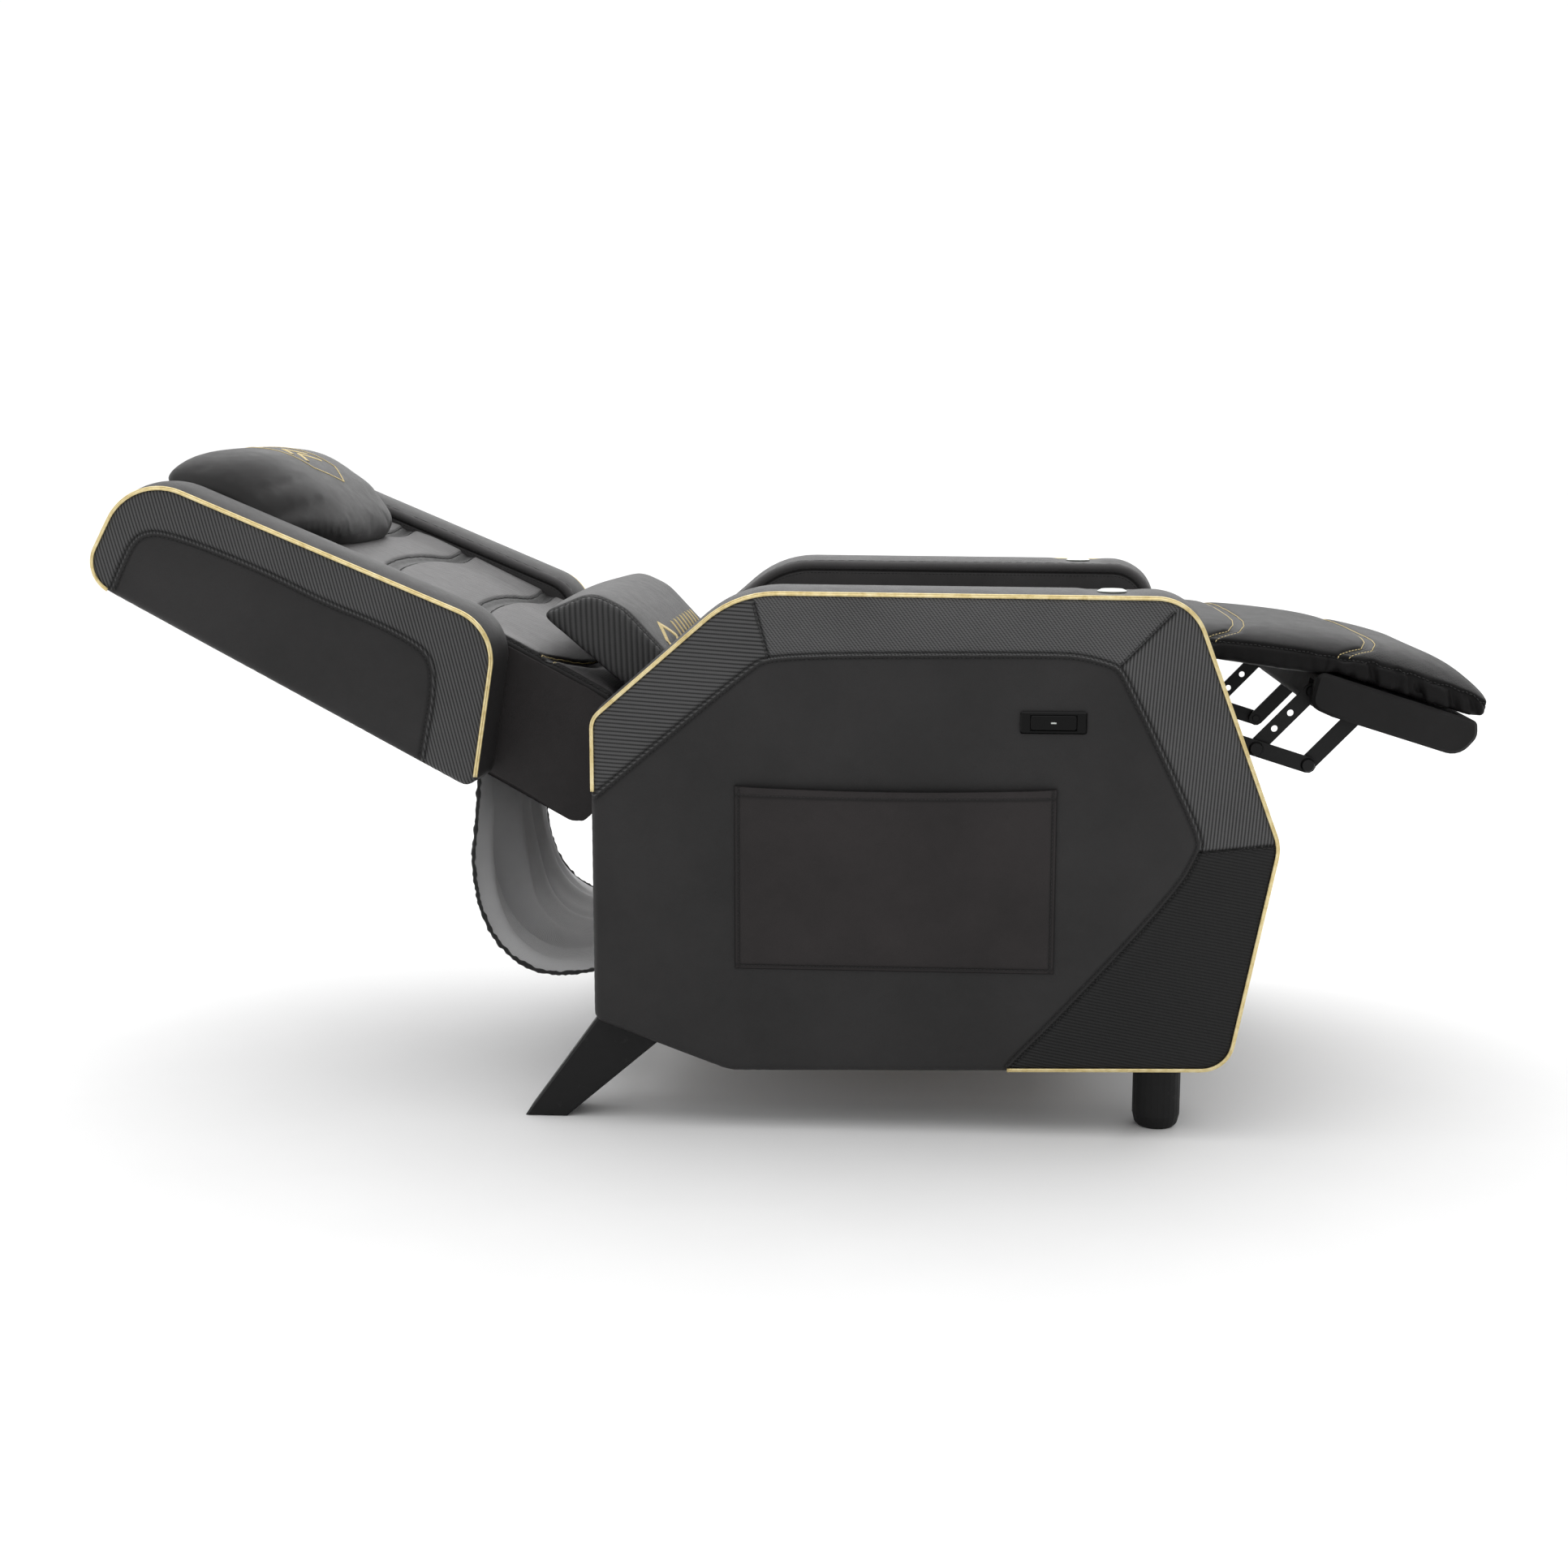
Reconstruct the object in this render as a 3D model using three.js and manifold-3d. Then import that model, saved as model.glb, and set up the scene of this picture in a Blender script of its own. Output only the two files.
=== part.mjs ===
// Single-seat gaming recliner, modelled fully reclined with its footrest out.
// Millimetres, +X towards the footrest, +Y towards the sitter's left, +Z up, floor at Z = 0.
// Side-view outlines are lists of corners [x, z, corner radius]; thickness runs along Y.

import * as THREE from 'three';
import { mergeVertices } from 'three/addons/utils/BufferGeometryUtils.js';
import Module from 'manifold-3d';

const wasm = await Module();
wasm.setup();

// ---- driving dimensions ----
const RIGHT = -1;                       // side of the chair, as the sign of Y
const LEFT = 1;
const SIDES = { right: RIGHT, left: LEFT };

const OVERALL_CENTRE_X = -186;          // middle of the whole length, put at X = 0
const SIDE_SHIFT = 4.1;                 // puts the middle of the width, pocket included, at Y = 0
const POCKET_PROUD = 9;                 // how far the side pocket stands off the right arm
const GAP = 0.4;                        // air between pieces that touch

const ARM_OUTER = 390;                  // |Y| of the arms' outer faces
const ARM_INNER = 260;                  // |Y| of the arms' inner faces
const ARM_EDGE = 10;                    // chamfer round the arms' outer faces
const WELT_RADIUS = 3.5;                // piping
const SEAT_HALF = 252;                  // half width of seat, back and footrest upholstery
const WING_INNER = 256;                 // |Y| of the back wings' faces
const WING_OUTER = 360;

const BACK_FOOT = [-475, 362];          // rear lower corner of the back
const BACK_LEAN = 61.3;                 // degrees the back lies behind upright
const SEAT_FOOT = [-335, 362];          // rear lower corner of the seat
const SEAT_TILT = 16.5;                 // degrees the seat rises to the front
const FOOTREST_POINT = [520, 504];      // front link's pivot on the footrest
const FOOTREST_DROP = 17.4;             // degrees the footrest falls to the front

const BACK_PIVOT = [-400, 440];
const SEAT_PIVOT = [-220, 380];
const KNEE = [350, 600];                // line that the footrest folds about
const LINK_RISE = [67, 71];             // from a lower link pivot to the upper one
const LINK_SPREAD = [64, -20];          // from the rear link to the front link
const FRONT_LOWER = [FOOTREST_POINT[0] - LINK_RISE[0], FOOTREST_POINT[1] - LINK_RISE[1]];
const REAR_LOWER = [FRONT_LOWER[0] - LINK_SPREAD[0], FRONT_LOWER[1] - LINK_SPREAD[1]];
const REAR_UPPER = [REAR_LOWER[0] + LINK_RISE[0], REAR_LOWER[1] + LINK_RISE[1]];
const LONG_PIVOT = [KNEE[0] - LINK_RISE[0], KNEE[1] - LINK_RISE[1]];
const LONG_BEND = [REAR_LOWER[0] - 44, REAR_LOWER[1] + 14];

// |Y| planes of the flat steel, from the middle outwards
const BRACKET_PLANE = [207, 211];
const SHORT_LINK_PLANE = [214, 218];
const LONG_LINK_PLANE = [221, 225];
const SEAT_PLATE_PLANE = [228, 232];
const BASE_PLATE_PLANE = [255.5, 259.5];
const LINK_HALF_WIDTH = 10;
const PIN_RADIUS = 5;
const PIVOT_RADIUS = 6;

// ---- materials ----
const finish = (color, roughness, metalness = 0) => ({ color, roughness, metalness });
const LEATHER = finish('#26262a', 0.5);
const RIBBED = finish('#2c2c30', 0.55);
const GOLD = finish('#b8963c', 0.4, 0.4);
const STEEL = finish('#17171a', 0.45, 0.8);
const PAINTED_LEG = finish('#141416', 0.6);
const PLYWOOD = finish('#b08a5a', 0.8);
const WEBBING = finish('#3a3430', 0.9);
const GLOSS_PLASTIC = finish('#0c0c0e', 0.2);
const GREY_CLOTH = finish('#77777a', 0.9);
const SILVER = finish('#c4c8c4', 0.35, 0.8);

const chair = new THREE.Group();
chair.position.set(-OVERALL_CENTRE_X, SIDE_SHIFT, 0);

function add(parent, name, geometry, look) {
  const mesh = new THREE.Mesh(geometry, new THREE.MeshStandardMaterial(look));
  mesh.name = name;
  parent.add(mesh);
  return mesh;
}

// ---- outlines ----
// Rounds each corner [x, z, radius] of a closed outline with an arc.
function rounded(corners) {
  const points = [];
  corners.forEach(([x, z, radius = 0], i) => {
    const here = new THREE.Vector2(x, z);
    const before = corners[(i + corners.length - 1) % corners.length];
    const after = corners[(i + 1) % corners.length];
    const back = new THREE.Vector2(before[0] - x, before[1] - z).normalize();
    const ahead = new THREE.Vector2(after[0] - x, after[1] - z).normalize();
    const turn = Math.PI - Math.acos(THREE.MathUtils.clamp(back.dot(ahead), -1, 1));
    if (radius < 0.1 || turn < 0.05) {
      points.push(here);
      return;
    }
    const reach = radius * Math.tan(turn / 2);
    const middle = back.clone().add(ahead).normalize();
    const centre = here.clone().addScaledVector(middle, radius / Math.cos(turn / 2));
    const first = here.clone().addScaledVector(back, reach).sub(centre);
    const last = here.clone().addScaledVector(ahead, reach).sub(centre);
    const way = Math.sign(first.cross(last));
    const count = Math.max(2, Math.ceil(turn / (Math.PI / 11)));
    for (let k = 0; k <= count; k += 1) {
      const arm = first.clone().rotateAround(new THREE.Vector2(), (way * turn * k) / count);
      points.push(arm.add(centre));
    }
  });
  return points;
}

// Moves a clockwise or anticlockwise closed run of points inwards by a distance.
function inset(points, distance) {
  const way = Math.sign(THREE.ShapeUtils.area(points));
  return points.map((point, i) => {
    const before = points[(i + points.length - 1) % points.length];
    const after = points[(i + 1) % points.length];
    const a = point.clone().sub(before).normalize();
    const b = after.clone().sub(point).normalize();
    const along = a.clone().add(b).normalize();
    const stretch = 1 / Math.max(0.5, along.dot(a));
    return point.clone().add(new THREE.Vector2(-along.y, along.x).multiplyScalar(way * distance * stretch));
  });
}

// ---- solids ----
// A flat piece: an outline in X and Z, with thickness between two Y values.
function slab(points, yA, yB, { holes = [], edge = 0 } = {}) {
  const low = Math.min(yA, yB);
  const high = Math.max(yA, yB);
  const shape = new THREE.Shape(points);
  for (const [x, z, radius] of holes) {
    const hole = new THREE.Path();
    hole.absarc(x, z, radius, 0, 2 * Math.PI, true);
    shape.holes.push(hole);
  }
  const geometry = new THREE.ExtrudeGeometry(shape, {
    depth: high - low - 2 * edge,
    curveSegments: 8,
    bevelEnabled: edge > 0,
    bevelThickness: edge,
    bevelSize: edge,
    bevelOffset: -edge,
    bevelSegments: 1,
  });
  return geometry.rotateX(Math.PI / 2).translate(0, high - edge, 0);
}

function box(x, y, z) {
  return new THREE.BoxGeometry(x[1] - x[0], y[1] - y[0], z[1] - z[0])
    .translate((x[0] + x[1]) / 2, (y[0] + y[1]) / 2, (z[0] + z[1]) / 2);
}

function rod(x, z, radius, yA, yB, sides = 16) {
  return new THREE.CylinderGeometry(radius, radius, Math.abs(yB - yA), sides)
    .translate(x, (yA + yB) / 2, z);
}

// A rivet along Y: a shank with a round head past its outer end.
function rivet([x, z], side, from, to, radius, headRadius, headHeight) {
  const profile = [[0, from], [radius, from], [radius, to], [headRadius, to],
    [headRadius * 0.8, to + headHeight], [0, to + headHeight]];
  const points = profile.map(([r, y]) => new THREE.Vector2(r, y));
  const geometry = new THREE.LatheGeometry(points, 14);
  if (side === RIGHT) geometry.rotateX(Math.PI);
  return geometry.translate(x, 0, z);
}

const toSolid = (geometry) => {
  const bare = geometry.clone();
  bare.deleteAttribute('normal');
  bare.deleteAttribute('uv');
  const merged = mergeVertices(bare, 1e-4);
  const triangles = merged.index ? merged.index.array : Uint32Array.from(merged.attributes.position.array.keys());
  return new wasm.Manifold(new wasm.Mesh({
    numProp: 3,
    vertProperties: Float32Array.from(merged.attributes.position.array),
    triVerts: Uint32Array.from(triangles),
  }));
};

const toGeometry = (solid) => {
  const mesh = solid.getMesh();
  const geometry = new THREE.BufferGeometry();
  geometry.setAttribute('position', new THREE.BufferAttribute(Float32Array.from(mesh.vertProperties), 3));
  geometry.setIndex(new THREE.BufferAttribute(Uint32Array.from(mesh.triVerts), 1));
  const flat = geometry.toNonIndexed();
  flat.computeVertexNormals();
  return flat;
};

const cut = (body, ...tools) => toGeometry(
  tools.reduce((solid, tool) => solid.subtract(toSolid(tool)), toSolid(body)));
const join = (body, ...others) => toGeometry(
  others.reduce((solid, other) => solid.add(toSolid(other)), toSolid(body)));

// A straight path from point to point, so that a swept section turns exactly at each one.
class CornerPath extends THREE.Curve {
  constructor(points) {
    super();
    this.points = points;
  }
  getPoint(t) {
    const place = t * (this.points.length - 1);
    const i = Math.min(Math.floor(place), this.points.length - 2);
    return this.points[i].clone().lerp(this.points[i + 1], place - i);
  }
  getPointAt(u) {
    return this.getPoint(u);
  }
  getTangentAt(u) {
    const i = Math.round(u * (this.points.length - 1));
    const before = this.points[Math.max(i - 1, 0)];
    const after = this.points[Math.min(i + 1, this.points.length - 1)];
    return after.clone().sub(before).normalize();
  }
}

function tube(points, radius, sides = 6) {
  const section = new THREE.Shape();
  for (let k = 0; k < sides; k += 1) {
    const angle = (2 * Math.PI * (k + 0.5)) / sides;
    const x = radius * Math.cos(angle);
    const y = radius * Math.sin(angle);
    if (k === 0) section.moveTo(x, y);
    else section.lineTo(x, y);
  }
  return new THREE.ExtrudeGeometry(section, {
    steps: points.length - 1,
    extrudePath: new CornerPath(points),
  });
}

// Piping along an open run of outline points, resting on the chamfer of the face at |Y| = faceY.
function piping(run, faceY, side) {
  const lift = (WELT_RADIUS + GAP) / Math.SQRT2;
  const inwards = ARM_EDGE / 2 - lift;
  const y = side * (faceY - inwards);
  const closed = inset(run, inwards);
  const last = run.length - 1;
  const endNormal = (a, b) => new THREE.Vector2(-(b.y - a.y), b.x - a.x).normalize();
  const way = Math.sign(THREE.ShapeUtils.area(run));
  closed[0] = run[0].clone().addScaledVector(endNormal(run[0], run[1]), way * inwards);
  closed[last] = run[last].clone().addScaledVector(endNormal(run[last - 1], run[last]), way * inwards);
  return tube(closed.map((p) => new THREE.Vector3(p.x, y, p.y)), WELT_RADIUS);
}

// ---- arms and base ----
const ARM = rounded([
  [-243, 656, 130], [288, 652, 62], [398, 360, 50], [346, 86, 40],
  [-253, 73, 60], [-418, 134, 15], [-418, 504, 26],
]);
// gold piping runs from high on the rear edge, over the top and front, to the middle of the bottom
const ARM_WELT = [
  new THREE.Vector2(-418, 416), ...ARM.filter((p) => p.x < -300 && p.y > 450),
  ...ARM.filter((p) => p.x > 0 || (p.x > -300 && p.y > 300)), new THREE.Vector2(83, 80.3)];
const ARM_BOARD = rounded([[-215, 575, 40], [235, 570, 60], [320, 350, 40], [285, 130, 20], [-380, 150, 20], [-380, 440, 40]]);
const ARM_BOARD_DEPTH = 12;
const BUTTON_CENTRE = [130, 505];
const BUTTON_SIZE = [54, 18];
const BEZEL_SIZE = [78, 26.5];
const BUTTON_TRAVEL = 4;
const POCKET = { x: [-245, 136], z: [203, 426], wall: 6, panel: 3 };
const CAP_PLACE = [199, 325];

function plateBox(centre, size, yA, yB) {
  const [x, z] = centre;
  return box([x - size[0] / 2, x + size[0] / 2], [Math.min(yA, yB), Math.max(yA, yB)],
    [z - size[1] / 2, z + size[1] / 2]);
}

function bevelledPlate(centre, size, yA, yB, edge) {
  const [x, z] = centre;
  const [w, h] = [size[0] / 2, size[1] / 2];
  const corners = [[x - w, z - h, 3], [x + w, z - h, 3], [x + w, z + h, 3], [x - w, z + h, 3]];
  return slab(rounded(corners), yA, yB, { edge });
}

for (const [name, side] of Object.entries(SIDES)) {
  const recess = slab(inset(ARM_BOARD, -GAP), side * (ARM_INNER - 1), side * (ARM_INNER + ARM_BOARD_DEPTH + GAP));
  const pads = [recess];
  if (side === RIGHT) {
    pads.push(plateBox(BUTTON_CENTRE, [BUTTON_SIZE[0] + 6, BUTTON_SIZE[1] + 4], -ARM_OUTER - 1, -ARM_OUTER + 26));
  }
  const pad = slab(ARM, side * ARM_INNER, side * ARM_OUTER, { edge: ARM_EDGE });
  add(chair, `arm_${name}`, cut(pad, ...pads), LEATHER);
  add(chair, `arm_board_${name}`,
    slab(ARM_BOARD, side * ARM_INNER, side * (ARM_INNER + ARM_BOARD_DEPTH)), PLYWOOD);

  add(chair, `arm_piping_${name}`, piping(ARM_WELT, ARM_OUTER, side), GOLD);

  const cap = new THREE.LatheGeometry(
    [[0, 0], [17.5, 0], [17.5, 1.4], [13, 3.6], [0, 3.6]].map(([r, z]) => new THREE.Vector2(r, z)), 20);
  const capMesh = add(chair, `arm_cap_${name}`, cap.rotateX(Math.PI / 2), SILVER);
  capMesh.position.set(CAP_PLACE[0], side * CAP_PLACE[1], 653.4);
}

// open-topped pocket on the right arm: a panel on a low rim along its sides and bottom
const pocketDepth = [-ARM_OUTER - GAP, -ARM_OUTER - POCKET_PROUD];
const pocketBlock = box(POCKET.x, [pocketDepth[1], pocketDepth[0]], POCKET.z);
const pocketRoom = box(
  [POCKET.x[0] + POCKET.wall, POCKET.x[1] - POCKET.wall],
  [pocketDepth[1] + POCKET.panel, pocketDepth[0] + 1],
  [POCKET.z[0] + POCKET.wall, POCKET.z[1] + 1]);
add(chair, 'side_pocket', cut(pocketBlock, pocketRoom), LEATHER);

// recline button in the right arm
const bezelFace = -ARM_OUTER - 4.5;
add(chair, 'button_bezel', cut(
  bevelledPlate(BUTTON_CENTRE, BEZEL_SIZE, bezelFace, -ARM_OUTER - GAP, 1.8),
  plateBox(BUTTON_CENTRE, [BUTTON_SIZE[0] + 1, BUTTON_SIZE[1] + 1], bezelFace - 1, -ARM_OUTER + 1)), GLOSS_PLASTIC);
add(chair, 'release_button',
  bevelledPlate(BUTTON_CENTRE, BUTTON_SIZE, bezelFace - 0.5, -ARM_OUTER + 12, 1), GLOSS_PLASTIC);
add(chair, 'release_switch',
  plateBox(BUTTON_CENTRE, [30, 14], -ARM_OUTER + 12 + BUTTON_TRAVEL + GAP, -ARM_OUTER + 25), GLOSS_PLASTIC);

// steel plates that carry the seat and back pivots, bolted inside the arms
const BASE_PLATE = rounded([
  [-412, 112, 8], [240, 112, 8], [240, 176, 10], [-170, 250, 30], [BACK_PIVOT[0] + 194, 396, 13],
  [SEAT_PIVOT[0] - 14, 396, 13], [-262, 262, 20], [-350, 262, 20], [BACK_PIVOT[0] + 14, 456, 13],
  [BACK_PIVOT[0] - 14, 456, 13],
]);
for (const [name, side] of Object.entries(SIDES)) {
  const [inner, outer] = BASE_PLATE_PLANE;
  const holes = [[...BACK_PIVOT, PIVOT_RADIUS + 0.5], [...SEAT_PIVOT, PIVOT_RADIUS + 0.5]];
  add(chair, `base_plate_${name}`, slab(BASE_PLATE, side * inner, side * outer, { holes }), STEEL);
  add(chair, `back_pivot_pin_${name}`, rod(...BACK_PIVOT, PIVOT_RADIUS, side * 226, side * outer), STEEL);
  add(chair, `seat_pivot_pin_${name}`, rod(...SEAT_PIVOT, PIVOT_RADIUS, side * 227.5, side * outer), STEEL);
}
const RAIL_END = BASE_PLATE_PLANE[0] - GAP;
add(chair, 'front_rail', box([198, 236], [-RAIL_END, RAIL_END], [92, 164]), PLYWOOD);
add(chair, 'rear_rail', box([-408, -372], [-RAIL_END, RAIL_END], [134, 196]), PLYWOOD);

// legs: flat splayed blades at the rear, round tapered ones at the front
const underArm = (x) => THREE.MathUtils.mapLinear(x, -253, -418, 73, 134) - GAP;
const BLADE = [[-416, underArm(-416)], [-512, 0], [-460, 0], [-338, underArm(-338)]]
  .map(([x, z]) => new THREE.Vector2(x, z));
for (const [name, side] of Object.entries(SIDES)) {
  add(chair, `rear_leg_${name}`, slab(BLADE, side * 300, side * 356, { edge: 3 }), PAINTED_LEG);
  const profile = [[0, 0], [22, 0], [26, 4], [29, 16], [29, 73.5 + 7.6], [0, 73.5 + 7.6]];
  const leg = new THREE.LatheGeometry(profile.map(([r, z]) => new THREE.Vector2(r, z)), 24).rotateX(Math.PI / 2);
  add(chair, `front_leg_${name}`, leg, PAINTED_LEG).position.set(268, side * 328, 0);
}

// thin dust cloth that hangs in a bag from the back to the rear rail
const CLOTH_LINE = new THREE.CatmullRomCurve3([
  [-584, 416], [-590, 350], [-599, 300], [-588, 228], [-556, 176], [-508, 151], [-450, 159], [-412, 166],
].map(([x, z]) => new THREE.Vector3(x, 0, z)));
const clothOuter = CLOTH_LINE.getPoints(20).map((p) => new THREE.Vector2(p.x, p.z));
const clothInner = clothOuter.map((p, i) => {
  const tangent = CLOTH_LINE.getTangent(i / 20);
  return new THREE.Vector2(p.x - tangent.z * 2, p.y + tangent.x * 2);
});
add(chair, 'dust_cloth', slab([...clothOuter, ...clothInner.reverse()], -245, 245), GREY_CLOTH);

// ---- seat ----
const seat = new THREE.Group();
seat.position.set(SEAT_FOOT[0], 0, SEAT_FOOT[1]);
seat.rotation.y = -THREE.MathUtils.degToRad(SEAT_TILT);
chair.add(seat);

// slatted plywood decks: rows of equal windows inside an outer rail
function windows(along, across, rows, columns, rail, slat, place) {
  const split = ([low, high], count) => {
    const size = (high - low - 2 * rail - (count - 1) * slat) / count;
    return Array.from({ length: count }, (_, k) => {
      const start = low + rail + k * (size + slat);
      return [start, start + size];
    });
  };
  return split(along, rows).flatMap((a) => split(across, columns).map((c) => place(a, c)));
}
const SEAT_FRAME = { along: [24, 585], across: [-226, 226], level: [-42, 2] };
add(seat, 'seat_frame', cut(box(SEAT_FRAME.along, SEAT_FRAME.across, SEAT_FRAME.level),
  ...windows(SEAT_FRAME.along, SEAT_FRAME.across, 3, 2, 46, 40, (x, y) => box(x, y, [-60, 20]))), PLYWOOD);

// straps woven across a frame opening, joined where they cross; place turns three ranges into a box
function strapNet(along, across, count, width, place) {
  const straps = [];
  for (let k = 0; k < count; k += 1) {
    const y = THREE.MathUtils.lerp(across[0], across[1], (k + 0.5) / count);
    straps.push(place(along, [y - width / 2, y + width / 2]));
  }
  for (const share of [0.2, 0.5, 0.8]) {
    const middle = THREE.MathUtils.lerp(along[0], along[1], share);
    straps.push(place([middle - width / 2, middle + width / 2], across));
  }
  return join(...straps);
}
add(seat, 'seat_webbing', strapNet([34, 575], [-205, 205], 4, 50, (x, y) => box(x, y, [2.4, 4.6])), WEBBING);

const CUSHION = rounded([
  [0, 5, 12], [650, 5, 18], [672, 50, 28], [640, 98, 45], [330, 94, 200], [110, 62, 200], [4, 46, 15],
]);
add(seat, 'seat_cushion', slab(CUSHION, -SEAT_HALF, SEAT_HALF, { edge: 7 }), LEATHER);

// outline of a flat steel bar through two or more points, with round ends
function bar(points, halfWidth) {
  const ends = [points[0], points[points.length - 1]];
  const middle = points.slice(1, -1);
  const outline = [];
  const capAround = ([x, z], [tx, tz]) => {
    const out = new THREE.Vector2(x - tx, z - tz).normalize().multiplyScalar(halfWidth);
    for (let k = 0; k <= 6; k += 1) {
      const arm = out.clone().rotateAround(new THREE.Vector2(), Math.PI * (k / 6 - 0.5));
      outline.push(new THREE.Vector2(x, z).add(arm));
    }
  };
  const sideOf = (sign) => middle.map(([x, z], i) => {
    const before = new THREE.Vector2(...points[i]);
    const after = new THREE.Vector2(...points[i + 2]);
    const here = new THREE.Vector2(x, z);
    const a = here.clone().sub(before).normalize();
    const b = after.sub(here).normalize();
    const along = a.clone().add(b).normalize();
    const reach = halfWidth / along.dot(a);
    return here.clone().add(new THREE.Vector2(-along.y, along.x).multiplyScalar(sign * reach));
  });
  capAround(ends[0], points[1]);
  outline.push(...sideOf(-1));
  capAround(ends[1], points[points.length - 2]);
  outline.push(...sideOf(1).reverse());
  return outline;
}

const LINK_HOLE = PIN_RADIUS + 0.5;
for (const [name, side] of Object.entries(SIDES)) {
  const [inner, outer] = SEAT_PLATE_PLANE;
  const plate = bar([SEAT_PIVOT, LONG_PIVOT], 17);
  const holes = [[...SEAT_PIVOT, PIVOT_RADIUS + 0.5], [...LONG_PIVOT, LINK_HOLE]];
  add(chair, `seat_plate_${name}`, slab(plate, side * inner, side * outer, { holes }), STEEL);
  add(chair, `long_link_pin_${name}`,
    rivet(LONG_PIVOT, side, LONG_LINK_PLANE[0] - 1, outer + GAP, PIN_RADIUS, 9, 3), STEEL);
}

// soft bridge between the seat's nose and the footrest
const KNEE_PAD = rounded([[303, 571, 8], [456, 549, 8], [460, 603, 10], [301, 620, 10]]);
add(chair, 'knee_pad', slab(KNEE_PAD, 2 - SEAT_HALF, SEAT_HALF - 2, { edge: 6 }), LEATHER);

// ---- footrest and its links ----
const footrest = new THREE.Group();
footrest.position.set(FOOTREST_POINT[0], 0, FOOTREST_POINT[1]);
footrest.rotation.y = THREE.MathUtils.degToRad(FOOTREST_DROP);
chair.add(footrest);

const BOARD = rounded([[-74, 28, 10], [-70, -17, 16], [-40, -20.5, 20], [122, -20, 26], [135, 10, 18], [128, 28, 8]]);
const SLOT = { s: [-90, 52], h: [-30, 15], y: [204, 234] };
const slots = Object.values(SIDES).map((side) => {
  const y = SLOT.y.map((v) => v * side).sort((a, b) => a - b);
  return box(SLOT.s, y, SLOT.h);
});
add(footrest, 'footrest_board', cut(slab(BOARD, -250, 250, { edge: 4 }), ...slots), LEATHER);
const FOOT_PAD = rounded([[-66, 31, 10], [118, 31, 14], [141, 44, 14], [112, 72, 40], [30, 86, 120], [-66, 84, 12]]);
add(footrest, 'footrest_pad', slab(FOOT_PAD, -SEAT_HALF, SEAT_HALF, { edge: 8 }), LEATHER);

for (const [name, side] of Object.entries(SIDES)) {
  const [inner, outer] = BRACKET_PLANE;
  const tab = bar([REAR_UPPER, FOOTREST_POINT], 9);
  const studs = [REAR_UPPER, FOOTREST_POINT].map(
    (p) => rivet(p, side, inner + 1, SHORT_LINK_PLANE[1] + GAP, PIN_RADIUS, 8, 2.4));
  add(chair, `footrest_bracket_${name}`, join(slab(tab, side * inner, side * outer), ...studs), STEEL);

  const [shortIn, shortOut] = SHORT_LINK_PLANE.map((v) => v * side);
  const spare = [0.34, 0.62].map((share) => [
    THREE.MathUtils.lerp(REAR_LOWER[0], REAR_UPPER[0], share),
    THREE.MathUtils.lerp(REAR_LOWER[1], REAR_UPPER[1], share), 4.2]);
  add(chair, `rear_link_${name}`, slab(bar([REAR_LOWER, REAR_UPPER], LINK_HALF_WIDTH), shortIn, shortOut,
    { holes: [[...REAR_LOWER, LINK_HOLE], ...spare, [...REAR_UPPER, LINK_HOLE]] }), STEEL);
  add(chair, `front_link_${name}`, slab(bar([FRONT_LOWER, FOOTREST_POINT], LINK_HALF_WIDTH), shortIn, shortOut,
    { holes: [[...FRONT_LOWER, LINK_HOLE], [...FOOTREST_POINT, LINK_HOLE]] }), STEEL);

  const [longIn, longOut] = LONG_LINK_PLANE.map((v) => v * side);
  const long = bar([LONG_PIVOT, LONG_BEND, FRONT_LOWER], LINK_HALF_WIDTH);
  add(chair, `long_link_${name}`, slab(long, longIn, longOut, {
    holes: [LONG_PIVOT, REAR_LOWER, FRONT_LOWER].map((p) => [...p, LINK_HOLE]) }), STEEL);
  for (const [place, point] of [['rear', REAR_LOWER], ['front', FRONT_LOWER]]) {
    add(chair, `${place}_link_bolt_${name}`,
      rivet(point, side, SHORT_LINK_PLANE[0] - 1, LONG_LINK_PLANE[1] + GAP, PIN_RADIUS, 9, 3.4), STEEL);
  }
}
const TUBE_PLACE = [(LONG_PIVOT[0] + LONG_BEND[0]) / 2, (LONG_PIVOT[1] + LONG_BEND[1]) / 2];
const TUBE_HALF = LONG_LINK_PLANE[0] - GAP;
add(chair, 'link_cross_tube', rod(...TUBE_PLACE, 9, -TUBE_HALF, TUBE_HALF, 14), STEEL);

// ---- back: local x is the depth from the rear face, local z the height along the back ----
const back = new THREE.Group();
back.position.set(BACK_FOOT[0], 0, BACK_FOOT[1]);
back.rotation.y = -THREE.MathUtils.degToRad(BACK_LEAN);
chair.add(back);

const REAR_PANEL = rounded([[0, -24, 20], [24, -26, 4], [24, 628, 4], [0, 630, 12]]);
add(back, 'back_rear_panel', slab(REAR_PANEL, -SEAT_HALF, SEAT_HALF, { edge: 2.5 }), LEATHER);

const BACK_FRAME = { depth: [27, 57], height: [12, 610], across: [-224, 224] };
add(back, 'back_frame', cut(box(BACK_FRAME.depth, BACK_FRAME.across, BACK_FRAME.height),
  ...windows(BACK_FRAME.height, BACK_FRAME.across, 4, 2, 46, 38, (z, y) => box([20, 70], y, z))), PLYWOOD);
add(back, 'back_webbing', strapNet([22, 600], [-205, 205], 4, 50, (z, y) => box([57.4, 60], y, z)), WEBBING);

const BACK_PAD = rounded([[61, 2, 11], [156, 6, 30], [150, 150, 200], [108, 612, 30], [61, 632, 14]]);
add(back, 'back_cushion', slab(BACK_PAD, -SEAT_HALF, SEAT_HALF, { edge: 8 }), LEATHER);

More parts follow.
